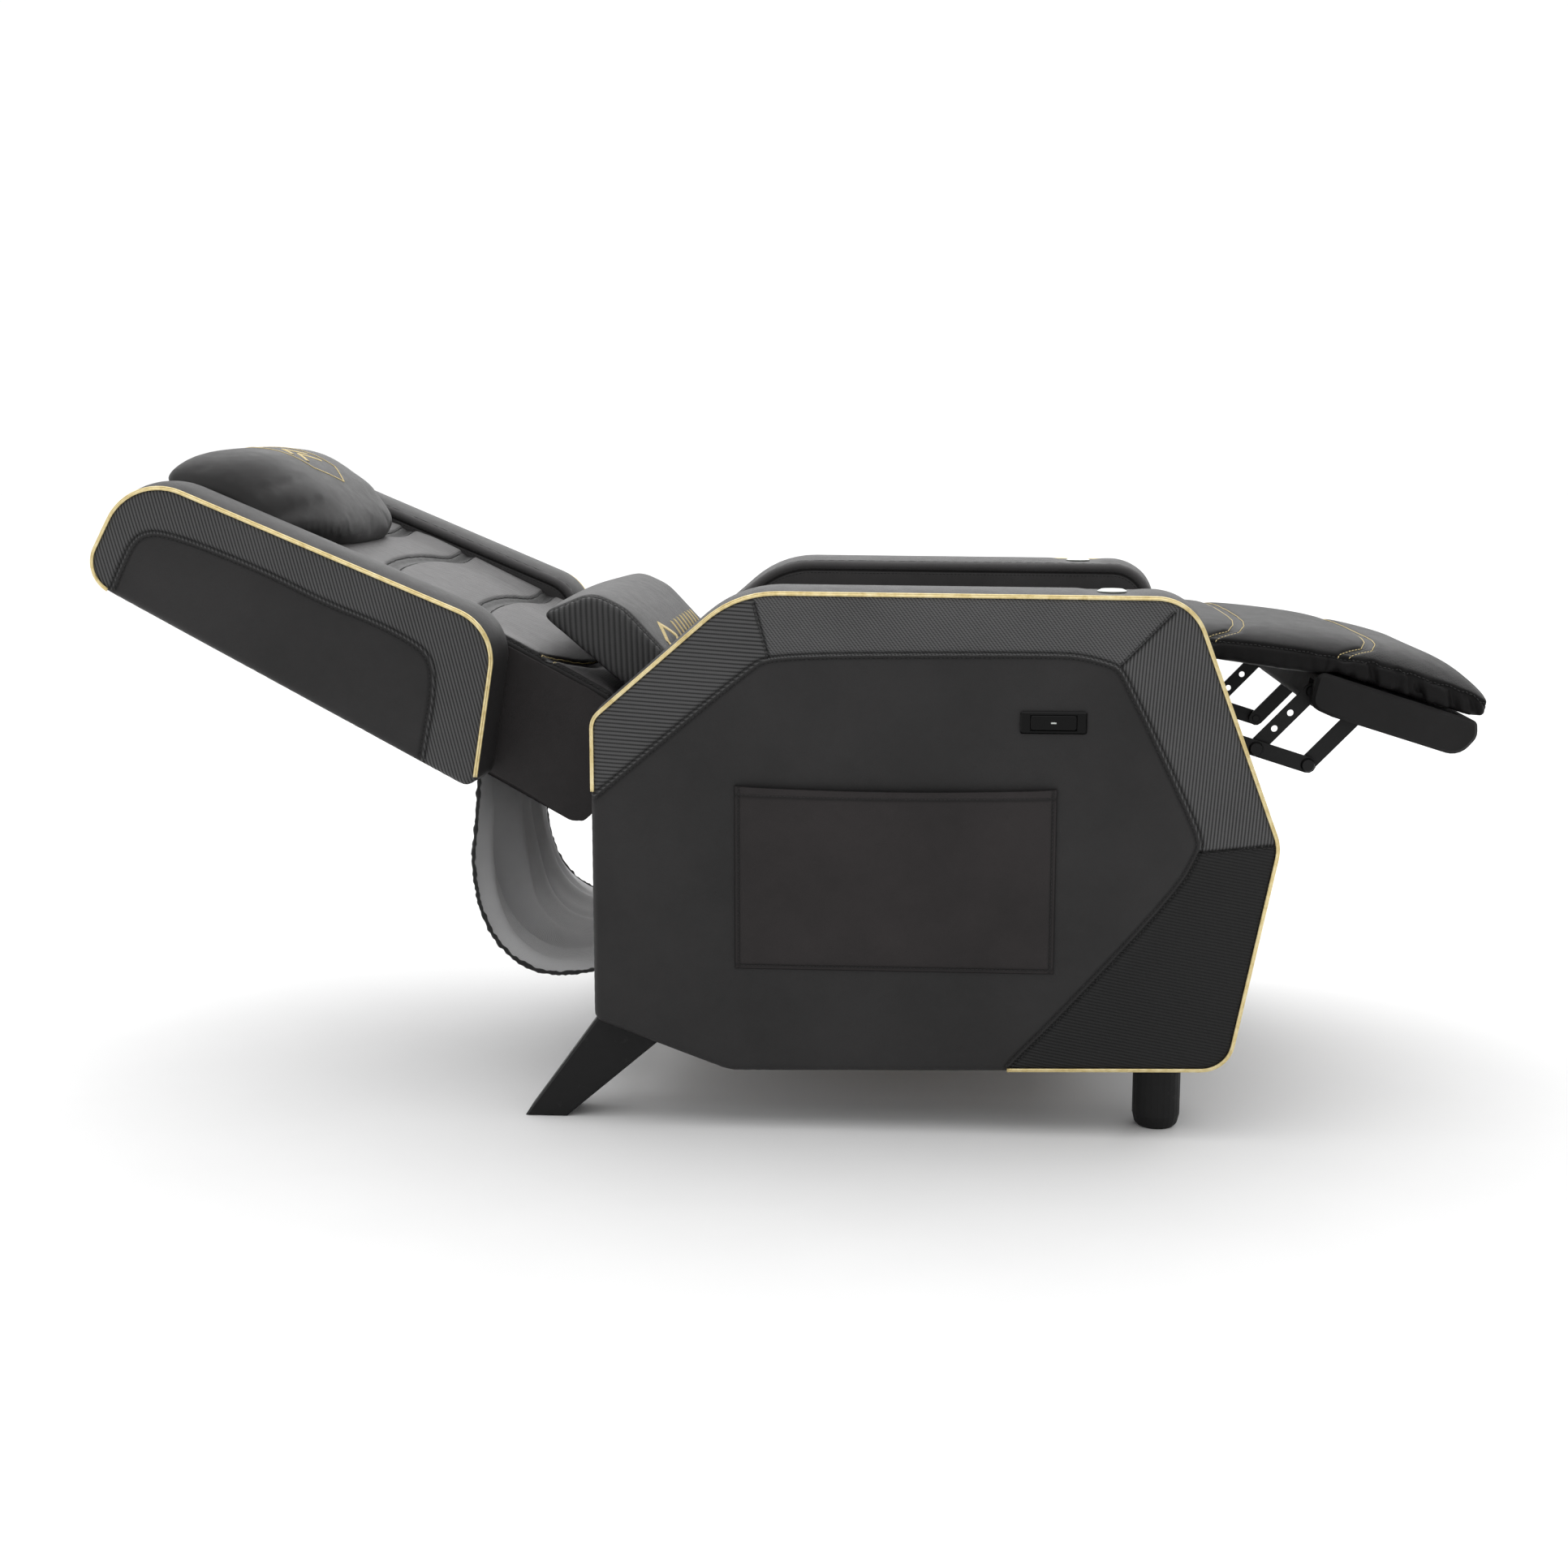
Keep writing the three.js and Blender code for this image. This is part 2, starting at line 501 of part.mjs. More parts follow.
// wings beside the back, edged with gold piping that stops at the bottom of the rear edge
const WING = rounded([[-3, 102, 15], [190, 170, 64], [140, 648, 74], [-6, 647, 40]]);
const WING_WELT = [new THREE.Vector2(14, 108), ...WING.filter((p) => p.x > 20 || p.y > 560)];
for (const [name, side] of Object.entries(SIDES)) {
  add(back, `wing_${name}`, slab(WING, side * WING_INNER, side * WING_OUTER, { edge: ARM_EDGE }), RIBBED);
  add(back, `wing_piping_${name}`, piping(WING_WELT, WING_OUTER, side), GOLD);
}

const HEAD_PILLOW = rounded([
  [133, 396, 24], [200, 394, 36], [221, 480, 80], [208, 560, 80], [160, 654, 40], [110, 654, 20],
]);
add(back, 'head_pillow', slab(HEAD_PILLOW, -238, 238, { edge: 14 }), LEATHER);

const LUMBAR_PILLOW = rounded([
  [172, 6, 20], [208, 143, 14], [264, 98, 30], [260, 58, 60], [226, -40, 24], [186, -26, 24],
]);
add(back, 'lumbar_pillow', slab(LUMBAR_PILLOW, -232, 232, { edge: 12 }), LEATHER);

// steel brackets from the back frame's sides down to the back pivot
const turn = THREE.MathUtils.degToRad(BACK_LEAN);
const pivotX = BACK_PIVOT[0] - BACK_FOOT[0];
const pivotZ = BACK_PIVOT[1] - BACK_FOOT[1];
const PIVOT_IN_BACK = [
  pivotX * Math.cos(turn) + pivotZ * Math.sin(turn), -pivotX * Math.sin(turn) + pivotZ * Math.cos(turn)];
for (const [name, side] of Object.entries(SIDES)) {
  const arm = bar([PIVOT_IN_BACK, [44, -30], [42, 190]], 14);
  add(back, `back_bracket_${name}`, slab(arm, side * 229, side * 233,
    { holes: [[...PIVOT_IN_BACK, PIVOT_RADIUS + 0.5], [42, 60, 4], [42, 170, 4]] }), STEEL);
}

export default chair;
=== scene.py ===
"""Looks of the reclining gaming chair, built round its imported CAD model.

Lengths in this file are millimetres in the chair's design frame, and put() turns them into metres in the row
frame. X runs from the back to the footrest, Y from the pocket side to the other side, and Z is up.
"""

import math

import bmesh
import bpy
import numpy as np
from mathutils import Matrix, Vector, geometry, kdtree, noise
from mathutils.bvhtree import BVHTree


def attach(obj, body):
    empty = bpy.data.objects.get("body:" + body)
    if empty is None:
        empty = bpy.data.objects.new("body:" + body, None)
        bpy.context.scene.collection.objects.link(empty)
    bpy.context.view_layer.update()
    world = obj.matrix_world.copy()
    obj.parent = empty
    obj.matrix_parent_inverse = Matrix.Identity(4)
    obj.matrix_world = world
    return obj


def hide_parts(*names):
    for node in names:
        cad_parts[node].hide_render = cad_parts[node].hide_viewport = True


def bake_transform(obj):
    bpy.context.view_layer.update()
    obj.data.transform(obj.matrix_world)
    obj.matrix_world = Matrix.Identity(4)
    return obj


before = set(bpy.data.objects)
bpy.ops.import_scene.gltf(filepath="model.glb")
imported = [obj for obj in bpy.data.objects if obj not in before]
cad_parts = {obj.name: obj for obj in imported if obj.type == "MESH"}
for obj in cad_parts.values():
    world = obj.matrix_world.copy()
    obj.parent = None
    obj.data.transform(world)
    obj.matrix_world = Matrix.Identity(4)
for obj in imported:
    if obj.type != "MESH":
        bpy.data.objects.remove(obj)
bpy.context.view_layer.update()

MM = 0.001
SHIFT = np.array([186.0, 4.1, 0.0])     # design frame to row frame
RIGHT, LEFT = -1, 1
SIDES = {"right": RIGHT, "left": LEFT}
ARM_INNER, ARM_OUTER = 260, 390
WING_INNER, WING_OUTER = 256, 360
SEAT_HALF = 252


# ---------------------------------------------------------------- places
class Place:
    """A frame turned about Y: along and up, in millimetres, give X and Z."""

    def __init__(self, origin=(0, 0), degrees=0):
        self.origin = origin
        self.cos = math.cos(math.radians(degrees))
        self.sin = math.sin(math.radians(degrees))

    def put(self, along, y, up):
        """Row-frame points in metres, one row each."""
        along, y, up = np.broadcast_arrays(*(np.asarray(v, float) for v in (along, y, up)))
        x = self.origin[0] + self.cos * along - self.sin * up
        z = self.origin[1] + self.sin * along + self.cos * up
        return (np.stack([x, y, z], -1) + SHIFT) * MM

    def way(self, along, y, up):
        """A direction in the row frame."""
        v = Vector((self.cos * along - self.sin * up, y, self.sin * along + self.cos * up))
        return v.normalized()

    def own(self, points):
        """(along, y, up) in millimetres of row-frame points in metres."""
        p = np.asarray(points, float) / MM - SHIFT
        x, z = p[..., 0] - self.origin[0], p[..., 2] - self.origin[1]
        return self.cos * x + self.sin * z, p[..., 1], -self.sin * x + self.cos * z


CHAIR = Place()
BACK = Place((-475, 362), 61.3)         # along: depth from the rear face; up: height along the back
SEAT = Place((-335, 362), 16.5)
FOOT = Place((520, 504), -17.4)


# ---------------------------------------------------------------- curves in a plane
def rounded(corners, fineness=math.pi / 28):
    """A closed outline with each corner (x, z, radius) turned into an arc."""
    points = []
    for i, (x, z, radius) in enumerate(corners):
        here = Vector((x, z))
        back = (Vector(corners[i - 1][:2]) - here).normalized()
        ahead = (Vector(corners[(i + 1) % len(corners)][:2]) - here).normalized()
        turn = math.pi - math.acos(max(-1, min(1, back.dot(ahead))))
        if radius < 0.1 or turn < 0.02:
            points.append(here)
            continue
        reach = radius * math.tan(turn / 2)
        centre = here + (back + ahead).normalized() * (radius / math.cos(turn / 2))
        first = here + back * reach - centre
        last = here + ahead * reach - centre
        way = 1 if first.x * last.y - first.y * last.x > 0 else -1
        count = max(2, math.ceil(turn / fineness))
        for k in range(count + 1):
            a = way * turn * k / count
            cos, sin = math.cos(a), math.sin(a)
            points.append(centre + Vector((first.x * cos - first.y * sin, first.x * sin + first.y * cos)))
    return np.array([tuple(p) for p in points])


def resample(points, step, closed=False):
    """Points a step apart along a line, its ends kept."""
    p = np.asarray(points, float)
    if closed:
        p = np.vstack([p, p[:1]])
    lengths = np.r_[0, np.cumsum(np.linalg.norm(np.diff(p, axis=0), axis=1))]
    count = max(2, int(round(lengths[-1] / step)))
    at = np.linspace(0, lengths[-1], count + 1)
    new = np.stack([np.interp(at, lengths, p[:, k]) for k in range(p.shape[1])], -1)
    return new[:-1] if closed else new


def smooth_line(points, rounds=2):
    """Cuts the corners of an open line, its ends kept."""
    p = np.asarray(points, float)
    for _ in range(rounds):
        q = np.empty((2 * len(p) - 2, p.shape[1]))
        q[0::2] = 0.75 * p[:-1] + 0.25 * p[1:]
        q[1::2] = 0.25 * p[:-1] + 0.75 * p[1:]
        p = np.vstack([p[:1], q[1:-1], p[-1:]])
    return p


def tangents(points, closed):
    if closed:
        t = np.roll(points, -1, 0) - np.roll(points, 1, 0)
    else:
        t = np.gradient(points, axis=0)
    return t / np.maximum(np.linalg.norm(t, axis=1, keepdims=True), 1e-9)


def normals_2d(points, closed=True):
    """Unit normals on the right of the way the line runs."""
    t = tangents(points, closed)
    return np.stack([t[:, 1], -t[:, 0]], -1)


def outward(points):
    """Outward normals of a closed outline."""
    x, z = points[:, 0], points[:, 1]
    area = np.sum(x * np.roll(z, -1) - np.roll(x, -1) * z)
    return normals_2d(points) * (1 if area > 0 else -1)


def distance(points, line, spacing=0.6, closed=False):
    """How far each point is from a line, in two or three dimensions."""
    samples = resample(line, spacing, closed)
    tree = kdtree.KDTree(len(samples))
    flat = samples.shape[1] == 2
    for i, s in enumerate(samples):
        tree.insert((s[0], s[1], 0.0) if flat else s, i)
    tree.balance()
    if flat:
        return np.array([tree.find((p[0], p[1], 0.0))[2] for p in points])
    return np.array([tree.find(p)[2] for p in points])


def inside(points, polygon):
    """Which points lie in a closed polygon."""
    x, z = points[:, 0], points[:, 1]
    hit = np.zeros(len(points), bool)
    for (ax, az), (bx, bz) in zip(polygon, np.roll(polygon, -1, 0)):
        crosses = (az > z) != (bz > z)
        slope = (bx - ax) / (bz - az if abs(bz - az) > 1e-9 else 1e-9)
        hit ^= crosses & (x < ax + slope * (z - az))
    return hit


# ---------------------------------------------------------------- meshes
def make_object(name, vertices, faces, materials, zones=None):
    mesh = bpy.data.meshes.new(name)
    mesh.from_pydata([tuple(v) for v in vertices], [], [tuple(f) for f in faces])
    obj = bpy.data.objects.new(name, mesh)
    bpy.context.scene.collection.objects.link(obj)
    for m in materials:
        mesh.materials.append(m)
    if zones is not None:
        mesh.polygons.foreach_set("material_index", np.asarray(zones, np.int32))
    mesh.polygons.foreach_set("use_smooth", np.ones(len(mesh.polygons), bool))
    mesh.update()
    return obj


def coordinates(obj):
    co = np.empty(len(obj.data.vertices) * 3)
    obj.data.vertices.foreach_get("co", co)
    return co.reshape(-1, 3)


def set_coordinates(obj, co):
    obj.data.vertices.foreach_set("co", np.asarray(co, np.float32).ravel())
    obj.data.update()


def vertex_normals(obj):
    no = np.empty(len(obj.data.vertices) * 3, np.float32)
    obj.data.vertex_normals.foreach_get("vector", no)
    return no.reshape(-1, 3).astype(float)


def face_centres(obj):
    c = np.empty(len(obj.data.polygons) * 3, np.float32)
    obj.data.polygons.foreach_get("center", c)
    return c.reshape(-1, 3).astype(float)


def weld(obj, gap=0.00002):
    bm = bmesh.new()
    bm.from_mesh(obj.data)
    bmesh.ops.remove_doubles(bm, verts=bm.verts, dist=gap)
    bmesh.ops.recalc_face_normals(bm, faces=bm.faces)
    bm.to_mesh(obj.data)
    bm.free()
    obj.data.update()


def bake_modifiers(obj):
    """Puts what the modifiers make into the mesh, and drops them."""
    bpy.context.view_layer.update()
    evaluated = obj.evaluated_get(bpy.context.evaluated_depsgraph_get())
    mesh = bpy.data.meshes.new_from_object(evaluated)
    old = obj.data
    mesh.name = old.name
    for m in old.materials:
        if m.name not in [x.name for x in mesh.materials if x]:
            mesh.materials.append(m)
    obj.modifiers.clear()
    obj.data = mesh
    bpy.data.meshes.remove(old)
    mesh.polygons.foreach_set("use_smooth", np.ones(len(mesh.polygons), bool))


def ring_faces(rings, around, closed=False, first=0):
    """Quads between rings of points that follow each other, the last joined to the first if closed."""
    faces = []
    for r in range(rings if closed else rings - 1):
        here, ahead = first + r * around, first + (r + 1) % rings * around
        for k in range(around):
            q = (k + 1) % around
            faces.append((here + k, here + q, ahead + q, ahead + k))
    return faces


def two_sheets(count, rows):
    """Faces of a closed form made of two grids of points, one behind the other, each count by rows."""
    def at(i, j, side):
        return side * count * rows + i * rows + j
    faces = []
    for i in range(count - 1):
        for j in range(rows - 1):
            faces.append((at(i, j, 0), at(i + 1, j, 0), at(i + 1, j + 1, 0), at(i, j + 1, 0)))
            faces.append((at(i, j, 1), at(i, j + 1, 1), at(i + 1, j + 1, 1), at(i + 1, j, 1)))
    for i in range(count - 1):
        for j in (0, rows - 1):
            faces.append((at(i, j, 0), at(i, j, 1), at(i + 1, j, 1), at(i + 1, j, 0)))
    for j in range(rows - 1):
        for i in (0, count - 1):
            faces.append((at(i, j, 0), at(i, j + 1, 0), at(i, j + 1, 1), at(i, j, 1)))
    return faces


def mark_seam_shade(obj, amount):
    """Stores how deep in a seam each point is, 0 to 1, for the materials to paint shade into the seams."""
    layer = obj.data.attributes.get("crease") or obj.data.attributes.new("crease", "FLOAT", "POINT")
    held = np.empty(len(obj.data.vertices), np.float32)
    layer.data.foreach_get("value", held)
    layer.data.foreach_set("value", np.maximum(held, amount).astype(np.float32))


def finish_piece(obj, body, slot=None, stands_for=()):
    if body:
        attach(obj, body)
    if stands_for:
        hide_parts(*stands_for)
    return obj


class Seam:
    """A sewn line on a panel: cut is the narrow groove, sink the soft hollow either side of it.

    double is how far the two grooves of a double seam lie from its middle.
    """

    def __init__(self, points, cut=1.5, width=1.6, sink=1.6, reach=9.0, step=4.0, double=0.0):
        self.points = resample(points, step)
        self.cut, self.width, self.sink, self.reach, self.double = cut, width, sink, reach, double
        self.rows = (-6.0, -3.2, -1.4, 1.4, 3.2, 6.0)
        if double:
            self.rows = [way * (double + more) for way in (-1, 1) for more in (-1.5, 0, 1.5, 4.0)]

    def depth(self, points):
        d = distance(points, self.points)
        channel = self.cut * np.exp(-((d - self.double) / self.width) ** 2)
        return channel + self.sink * np.exp(-d / self.reach)

    def beside(self, gap):
        n = normals_2d(self.points, closed=False)
        return self.points + n * gap

    # How much painted shade the seam's grooves give each point, 0 to 1.
    def crease(self, points):
        return np.exp(-((distance(points, self.points) - self.double) / (self.width * 1.15)) ** 2)


def triangulated(outline, rings, seams, step):
    """Points and triangles that fill an outline, with rows of points along its edge and along the seams."""
    n = outward(outline)
    loose = []
    for ring in rings[1:]:
        points = outline - n * ring
        far = distance(points, outline, closed=True)
        loose.append(points[far > ring * 0.9])
    sewn, edges = [], []
    start = len(outline)
    keep_off = []
    for seam in seams:
        line = seam.points
        inner = distance(line, outline, closed=True) > rings[1]
        line = line[inner & inside(line, outline)]
        edges += [(start + k, start + k + 1) for k in range(len(line) - 1)]
        sewn.append(line)
        start += len(line)
        for gap in seam.rows:
            beside = seam.beside(gap)
            far = distance(beside, outline, closed=True)
            beside = beside[(far > rings[-1] * 0.5) & inside(beside, outline)]
            keep_off.append(beside)
    low, high = outline.min(0), outline.max(0)
    columns = np.arange(low[0], high[0], step)
    rows = np.arange(low[1], high[1], step * 0.866)
    grid = np.array([(x + (step / 2 if k % 2 else 0), z) for k, z in enumerate(rows) for x in columns])
    grid = grid[inside(grid, outline)]
    grid = grid[distance(grid, outline, closed=True) > rings[-1] + step * 0.4]
    for seam in seams:
        grid = grid[distance(grid, seam.points) > 6 + step * 0.4]
    parts = [outline, *sewn, *keep_off, *loose, grid]
    cloud = np.vstack([p for p in parts if len(p)])
    done = geometry.delaunay_2d_cdt(
        [Vector(p) for p in cloud], edges, [list(range(len(outline)))], 1, 1e-3, False)
    return np.array([tuple(v) for v in done[0]]), [tuple(f) for f in done[2]]


def upholster(name, put, outline, low, high, materials, low_face, high_face, edge=10, crown=None,
              columns=14, outline_step=5.0):
    """A closed, stuffed panel: an outline, with thickness from low to high and rounded edges.

    crown(points, normals) is how far the band bulges at each outline point. A face is a dict with the step
    between its points and, where wanted, seams, a bulge, extra depth and a zone function that gives the
    material of each point.
    """
    outline = resample(outline, outline_step, closed=True)
    n = outward(outline)
    rise = crown(outline, n) if crown else np.zeros(len(outline))
    vertices, faces, zones, creases = [], [], [], []
    count = 0
    rings = [0, edge * 0.06, edge * 0.22, edge * 0.46, edge * 0.75, edge]
    for level, way, face in ((low, 1, low_face), (high, -1, high_face)):
        seams = face.get("seams", [])
        points, triangles = triangulated(outline, rings, seams, face["step"])
        far = distance(points, outline, closed=True)
        gap = np.clip(edge - far, 0, edge)
        depth = edge - np.sqrt(np.maximum(edge ** 2 - gap ** 2, 0))
        fade = np.clip(far / edge, 0, 1)
        for seam in seams:
            depth = depth + seam.depth(points) * fade
        depth = depth - face.get("bulge", 0) * (1 - np.exp(-far / face.get("soft", 45)))
        if "extra" in face:
            depth = depth + face["extra"](points) * fade
        vertices.append(put(points, level + way * depth))
        # painted shade along the seams, kept on the mesh for the materials
        sewn = [seam.crease(points) for seam in seams]
        creases.append(np.max(sewn, axis=0) if seams else np.zeros(len(points)))
        centre = points[np.array(triangles)].mean(1)
        zone = face["zone"](centre) if "zone" in face else np.zeros(len(triangles), int)
        zones += list(zone)
        faces += [tuple(i + count for i in t) for t in triangles]
        count += len(points)
    levels = np.linspace(low + edge, high - edge, columns + 1)
    share = np.linspace(-1, 1, columns + 1)
    m = len(outline)
    for level, t in zip(levels, share):
        vertices.append(put(outline + n * (rise * (1 - abs(t) ** 2.2))[:, None], np.full(m, level)))
    faces += ring_faces(columns + 1, m, first=count)
    zones += [0] * (columns * m)
    obj = make_object(name, np.vstack(vertices), faces, materials, zones)
    mark_seam_shade(obj, np.r_[np.concatenate(creases), np.zeros(m * len(levels))])
    weld(obj)
    return obj


def upholster_side(name, put, outline, side, span, materials, outer, inner, **more):
    """A panel beside the seat, its faces span from the chair's middle, the outer one away from the seat."""
    low, high = sorted((side * span[0], side * span[1]))
    faces = (outer, inner) if side == RIGHT else (inner, outer)
    return upholster(name, put, outline, low, high, materials, *faces, **more)


class Surface:
    """Finds where a line lands on a piece."""

    def __init__(self, obj):
        bm = bmesh.new()
        bm.from_mesh(obj.data)
        self.tree = BVHTree.FromBMesh(bm)
        bm.free()

    def drop(self, points, way, reach=0.2):
        """Points and normals where lines from these points, moved back by reach, meet the piece."""
        hits, ups = [], []
        way = Vector(way).normalized()
        for p in points:
            hit, normal, _, _ = self.tree.ray_cast(Vector(p) - way * reach, way)
            if hit is not None:
                hits.append(tuple(hit))
                ups.append(tuple(normal))
        return np.array(hits), np.array(ups)

    def nearest(self, points):
        hits, ups = [], []
        for p in points:
            hit, normal, _, _ = self.tree.find_nearest(Vector(p))
            hits.append(tuple(hit))
            ups.append(tuple(normal))
        return np.array(hits), np.array(ups)


class Thread:
    """Gathers stitches, and makes one piece of them."""

    def __init__(self):
        self.vertices, self.faces = [], []

    def sew(self, line, ups, pitch=5.2, share=0.74, radius=0.5, lift=0.15):
        """Lays stitches along a line of points in metres, with the surface normals there."""
        lengths = np.r_[0, np.cumsum(np.linalg.norm(np.diff(line, axis=0), axis=1))]
        total = lengths[-1] / MM
        count = max(1, int(total / pitch))
        pitch = total / count
        stations = []
        for k in range(count):
            stations += [k * pitch, k * pitch + pitch * share * 0.25,
                         k * pitch + pitch * share * 0.75, k * pitch + pitch * share]
        at = np.array(stations) * MM
        p = np.stack([np.interp(at, lengths, line[:, i]) for i in range(3)], -1)
        u = np.stack([np.interp(at, lengths, ups[:, i]) for i in range(3)], -1)
        u /= np.linalg.norm(u, axis=1, keepdims=True)
        along = np.repeat(p[3::4] - p[0::4], 4, axis=0)
        along /= np.maximum(np.linalg.norm(along, axis=1, keepdims=True), 1e-9)
        side = np.cross(u, along)
        side /= np.maximum(np.linalg.norm(side, axis=1, keepdims=True), 1e-9)
        thick = np.tile([0.45, 1.0, 1.0, 0.45], count)[:, None] * radius * MM
        raised = np.tile([-0.5, 1.0, 1.0, -0.5], count)[:, None] * (radius * 0.5 + lift) * MM
        p = p + u * raised
        angles = np.arange(6) * math.pi / 3
        first = len(self.vertices)
        rings = p[:, None, :] + thick[:, None, :] * (
            np.cos(angles)[None, :, None] * side[:, None, :] + np.sin(angles)[None, :, None] * u[:, None, :])
        self.vertices.extend(rings.reshape(-1, 3))
        for s in range(count):
            base = first + s * 24
            for r in range(3):
                for k in range(6):
                    a, b = base + r * 6 + k, base + r * 6 + (k + 1) % 6
                    self.faces.append((a, b, b + 6, a + 6))
            self.faces.append(tuple(base + 5 - k for k in range(6)))
            self.faces.append(tuple(base + 18 + k for k in range(6)))

    def piece(self, name, material, body, slot):
        obj = make_object(name, self.vertices, self.faces, [material])
        return finish_piece(obj, body, slot)


def sweep(name, line, normals, section, materials):
    """Runs a section (sideways, up) in millimetres along a line in metres, up being the normal."""
    t = tangents(line, False)
    side = np.cross(t, normals)
    side /= np.linalg.norm(side, axis=1, keepdims=True)
    up = np.cross(side, t)
    section = np.asarray(section, float) * MM
    rings = line[:, None, :] + section[None, :, :1] * side[:, None, :]
    rings = rings + section[None, :, 1:] * up[:, None, :]
    m, n = len(section), len(line)
    faces = ring_faces(n, m)
    faces.append(tuple(range(m - 1, -1, -1)))
    faces.append(tuple((n - 1) * m + k for k in range(m)))
    obj = make_object(name, rings.reshape(-1, 3), faces, materials)
    weld(obj, 1e-6)
    return obj


def twin_bead():
    """The section of doubled piping: two beads side by side."""
    radius, spread, count = 1.55, 1.46, 24
    points = []
    for k in range(count):
        a = 2 * math.pi * k / count
        r = spread * abs(math.cos(a)) + math.sqrt(radius ** 2 - (spread * math.sin(a)) ** 2)
        points.append((r * math.cos(a), r * math.sin(a)))
    return points


# ---------------------------------------------------------------- materials
class Graph:
    """A material's node tree, with short ways to add to it."""

    def __init__(self, name):
        self.material = bpy.data.materials.new(name)
        self.material.use_nodes = True
        self.tree = self.material.node_tree
        self.tree.nodes.clear()
        self.output = self.tree.nodes.new("ShaderNodeOutputMaterial")
        self.shader = self.tree.nodes.new("ShaderNodeBsdfPrincipled")
        self.tree.links.new(self.shader.outputs[0], self.output.inputs[0])
        self.place = self.tree.nodes.new("ShaderNodeTexCoord").outputs["Object"]

    def put(self, socket, value):
        if isinstance(value, bpy.types.NodeSocket):
            self.tree.links.new(value, socket)
        elif isinstance(value, (tuple, list)) and len(value) == 3 and socket.type == "RGBA":
            socket.default_value = (*value, 1)
        else:
            socket.default_value = value

    def set(self, **values):
        for key, value in values.items():
            self.put(self.shader.inputs[key.replace("_", " ")], value)

    def done(self, colour, normal, roughness, **numbers):
        """Sets the shader's inputs, and gives the finished material."""
        self.set(Base_Color=colour, Normal=normal, Roughness=roughness, **numbers)
        return self.material

    def node(self, kind, out=0, props=None, **values):
        n = self.tree.nodes.new(kind)
        for key, value in (props or {}).items():
            setattr(n, key, value)
        for key, value in values.items():
            socket = n.inputs[int(key[1:])] if key[0] == "i" and key[1:].isdigit() else n.inputs[key]
            self.put(socket, value)
        return n.outputs[out]

    def math(self, operation, a, b=0.0, c=0.0):
        return self.node("ShaderNodeMath", props={"operation": operation}, i0=a, i1=b, i2=c)

    def across(self, direction):
        """How far a point is along a direction, in metres."""
        return self.node("ShaderNodeVectorMath", out=1, props={"operation": "DOT_PRODUCT"},
                         i0=self.place, i1=tuple(direction))

    def waves(self, direction, pitch):
        """0 to 1 ribs across a direction, pitch in millimetres from one to the next."""
        turn = self.math("MULTIPLY", self.across(direction), 2 * math.pi / (pitch * MM))
        return self.math("MULTIPLY_ADD", self.math("SINE", turn), 0.5, 0.5)

    def noise(self, scale, detail=3.0, rough=0.5, vector=None):
        return self.node("ShaderNodeTexNoise", Vector=vector or self.place, Scale=scale, Detail=detail,
                         Roughness=rough)

    def seam_shaded(self, colour, depth=0.8):
        """Darkens a colour where the mesh says that a seam is: painted shade in the seam's groove."""
        n = self.tree.nodes.new("ShaderNodeAttribute")
        n.attribute_name = "crease"
        return self.mix(self.math("MULTIPLY", n.outputs["Fac"], depth), colour, (0.0015, 0.0015, 0.0015))

    def ramp(self, value, stops):
        n = self.tree.nodes.new("ShaderNodeValToRGB")
        self.tree.links.new(value, n.inputs[0])
        while len(n.color_ramp.elements) < len(stops):
            n.color_ramp.elements.new(0.5)
        for element, (at, colour) in zip(n.color_ramp.elements, stops):
            element.position = at
            element.color = (*colour, 1) if len(colour) == 3 else colour
        return n.outputs[0]

    def grey(self, value, low, high, start=0.0, end=1.0):
        """A number from low to high as value goes from start to end."""
        return self.node("ShaderNodeMapRange", i0=value, i1=start, i2=end, i3=low, i4=high)

    def mix(self, share, a, b):
        n = self.tree.nodes.new("ShaderNodeMix")
        n.data_type = "RGBA"
        self.put(n.inputs[0], share)
        self.put(n.inputs[6], a)
        self.put(n.inputs[7], b)
        return n.outputs[2]

    def bump(self, height, strength, millimetres, base=None):
        values = {"Height": height, "Strength": strength, "Distance": millimetres * MM}
        if base is not None:
            values["Normal"] = base
        return self.node("ShaderNodeBump", **values)


def grain(g, size=1.3, strength=0.3):
    """Leather grain: pebbles with finer creases between them."""
    warp = g.node("ShaderNodeVectorMath", props={"operation": "MULTIPLY_ADD"},
                  i0=g.node("ShaderNodeTexNoise", out=1, Vector=g.place, Scale=260.0, Detail=2.0),
                  i1=(0.0016, 0.0016, 0.0016), i2=g.place)
    pebbles = g.node("ShaderNodeTexVoronoi", props={"feature": "DISTANCE_TO_EDGE"}, Vector=warp,
                     Scale=1000.0 / size)
    flat = g.node("ShaderNodeMapRange", props={"interpolation_type": "SMOOTHSTEP"},
                  i0=pebbles, i1=0.0, i2=0.22, i3=0.0, i4=1.0)
    coarse = g.bump(g.noise(34.0, 2.0), 0.10, 3.0)
    return pebbles, g.bump(flat, strength, 0.25, coarse)


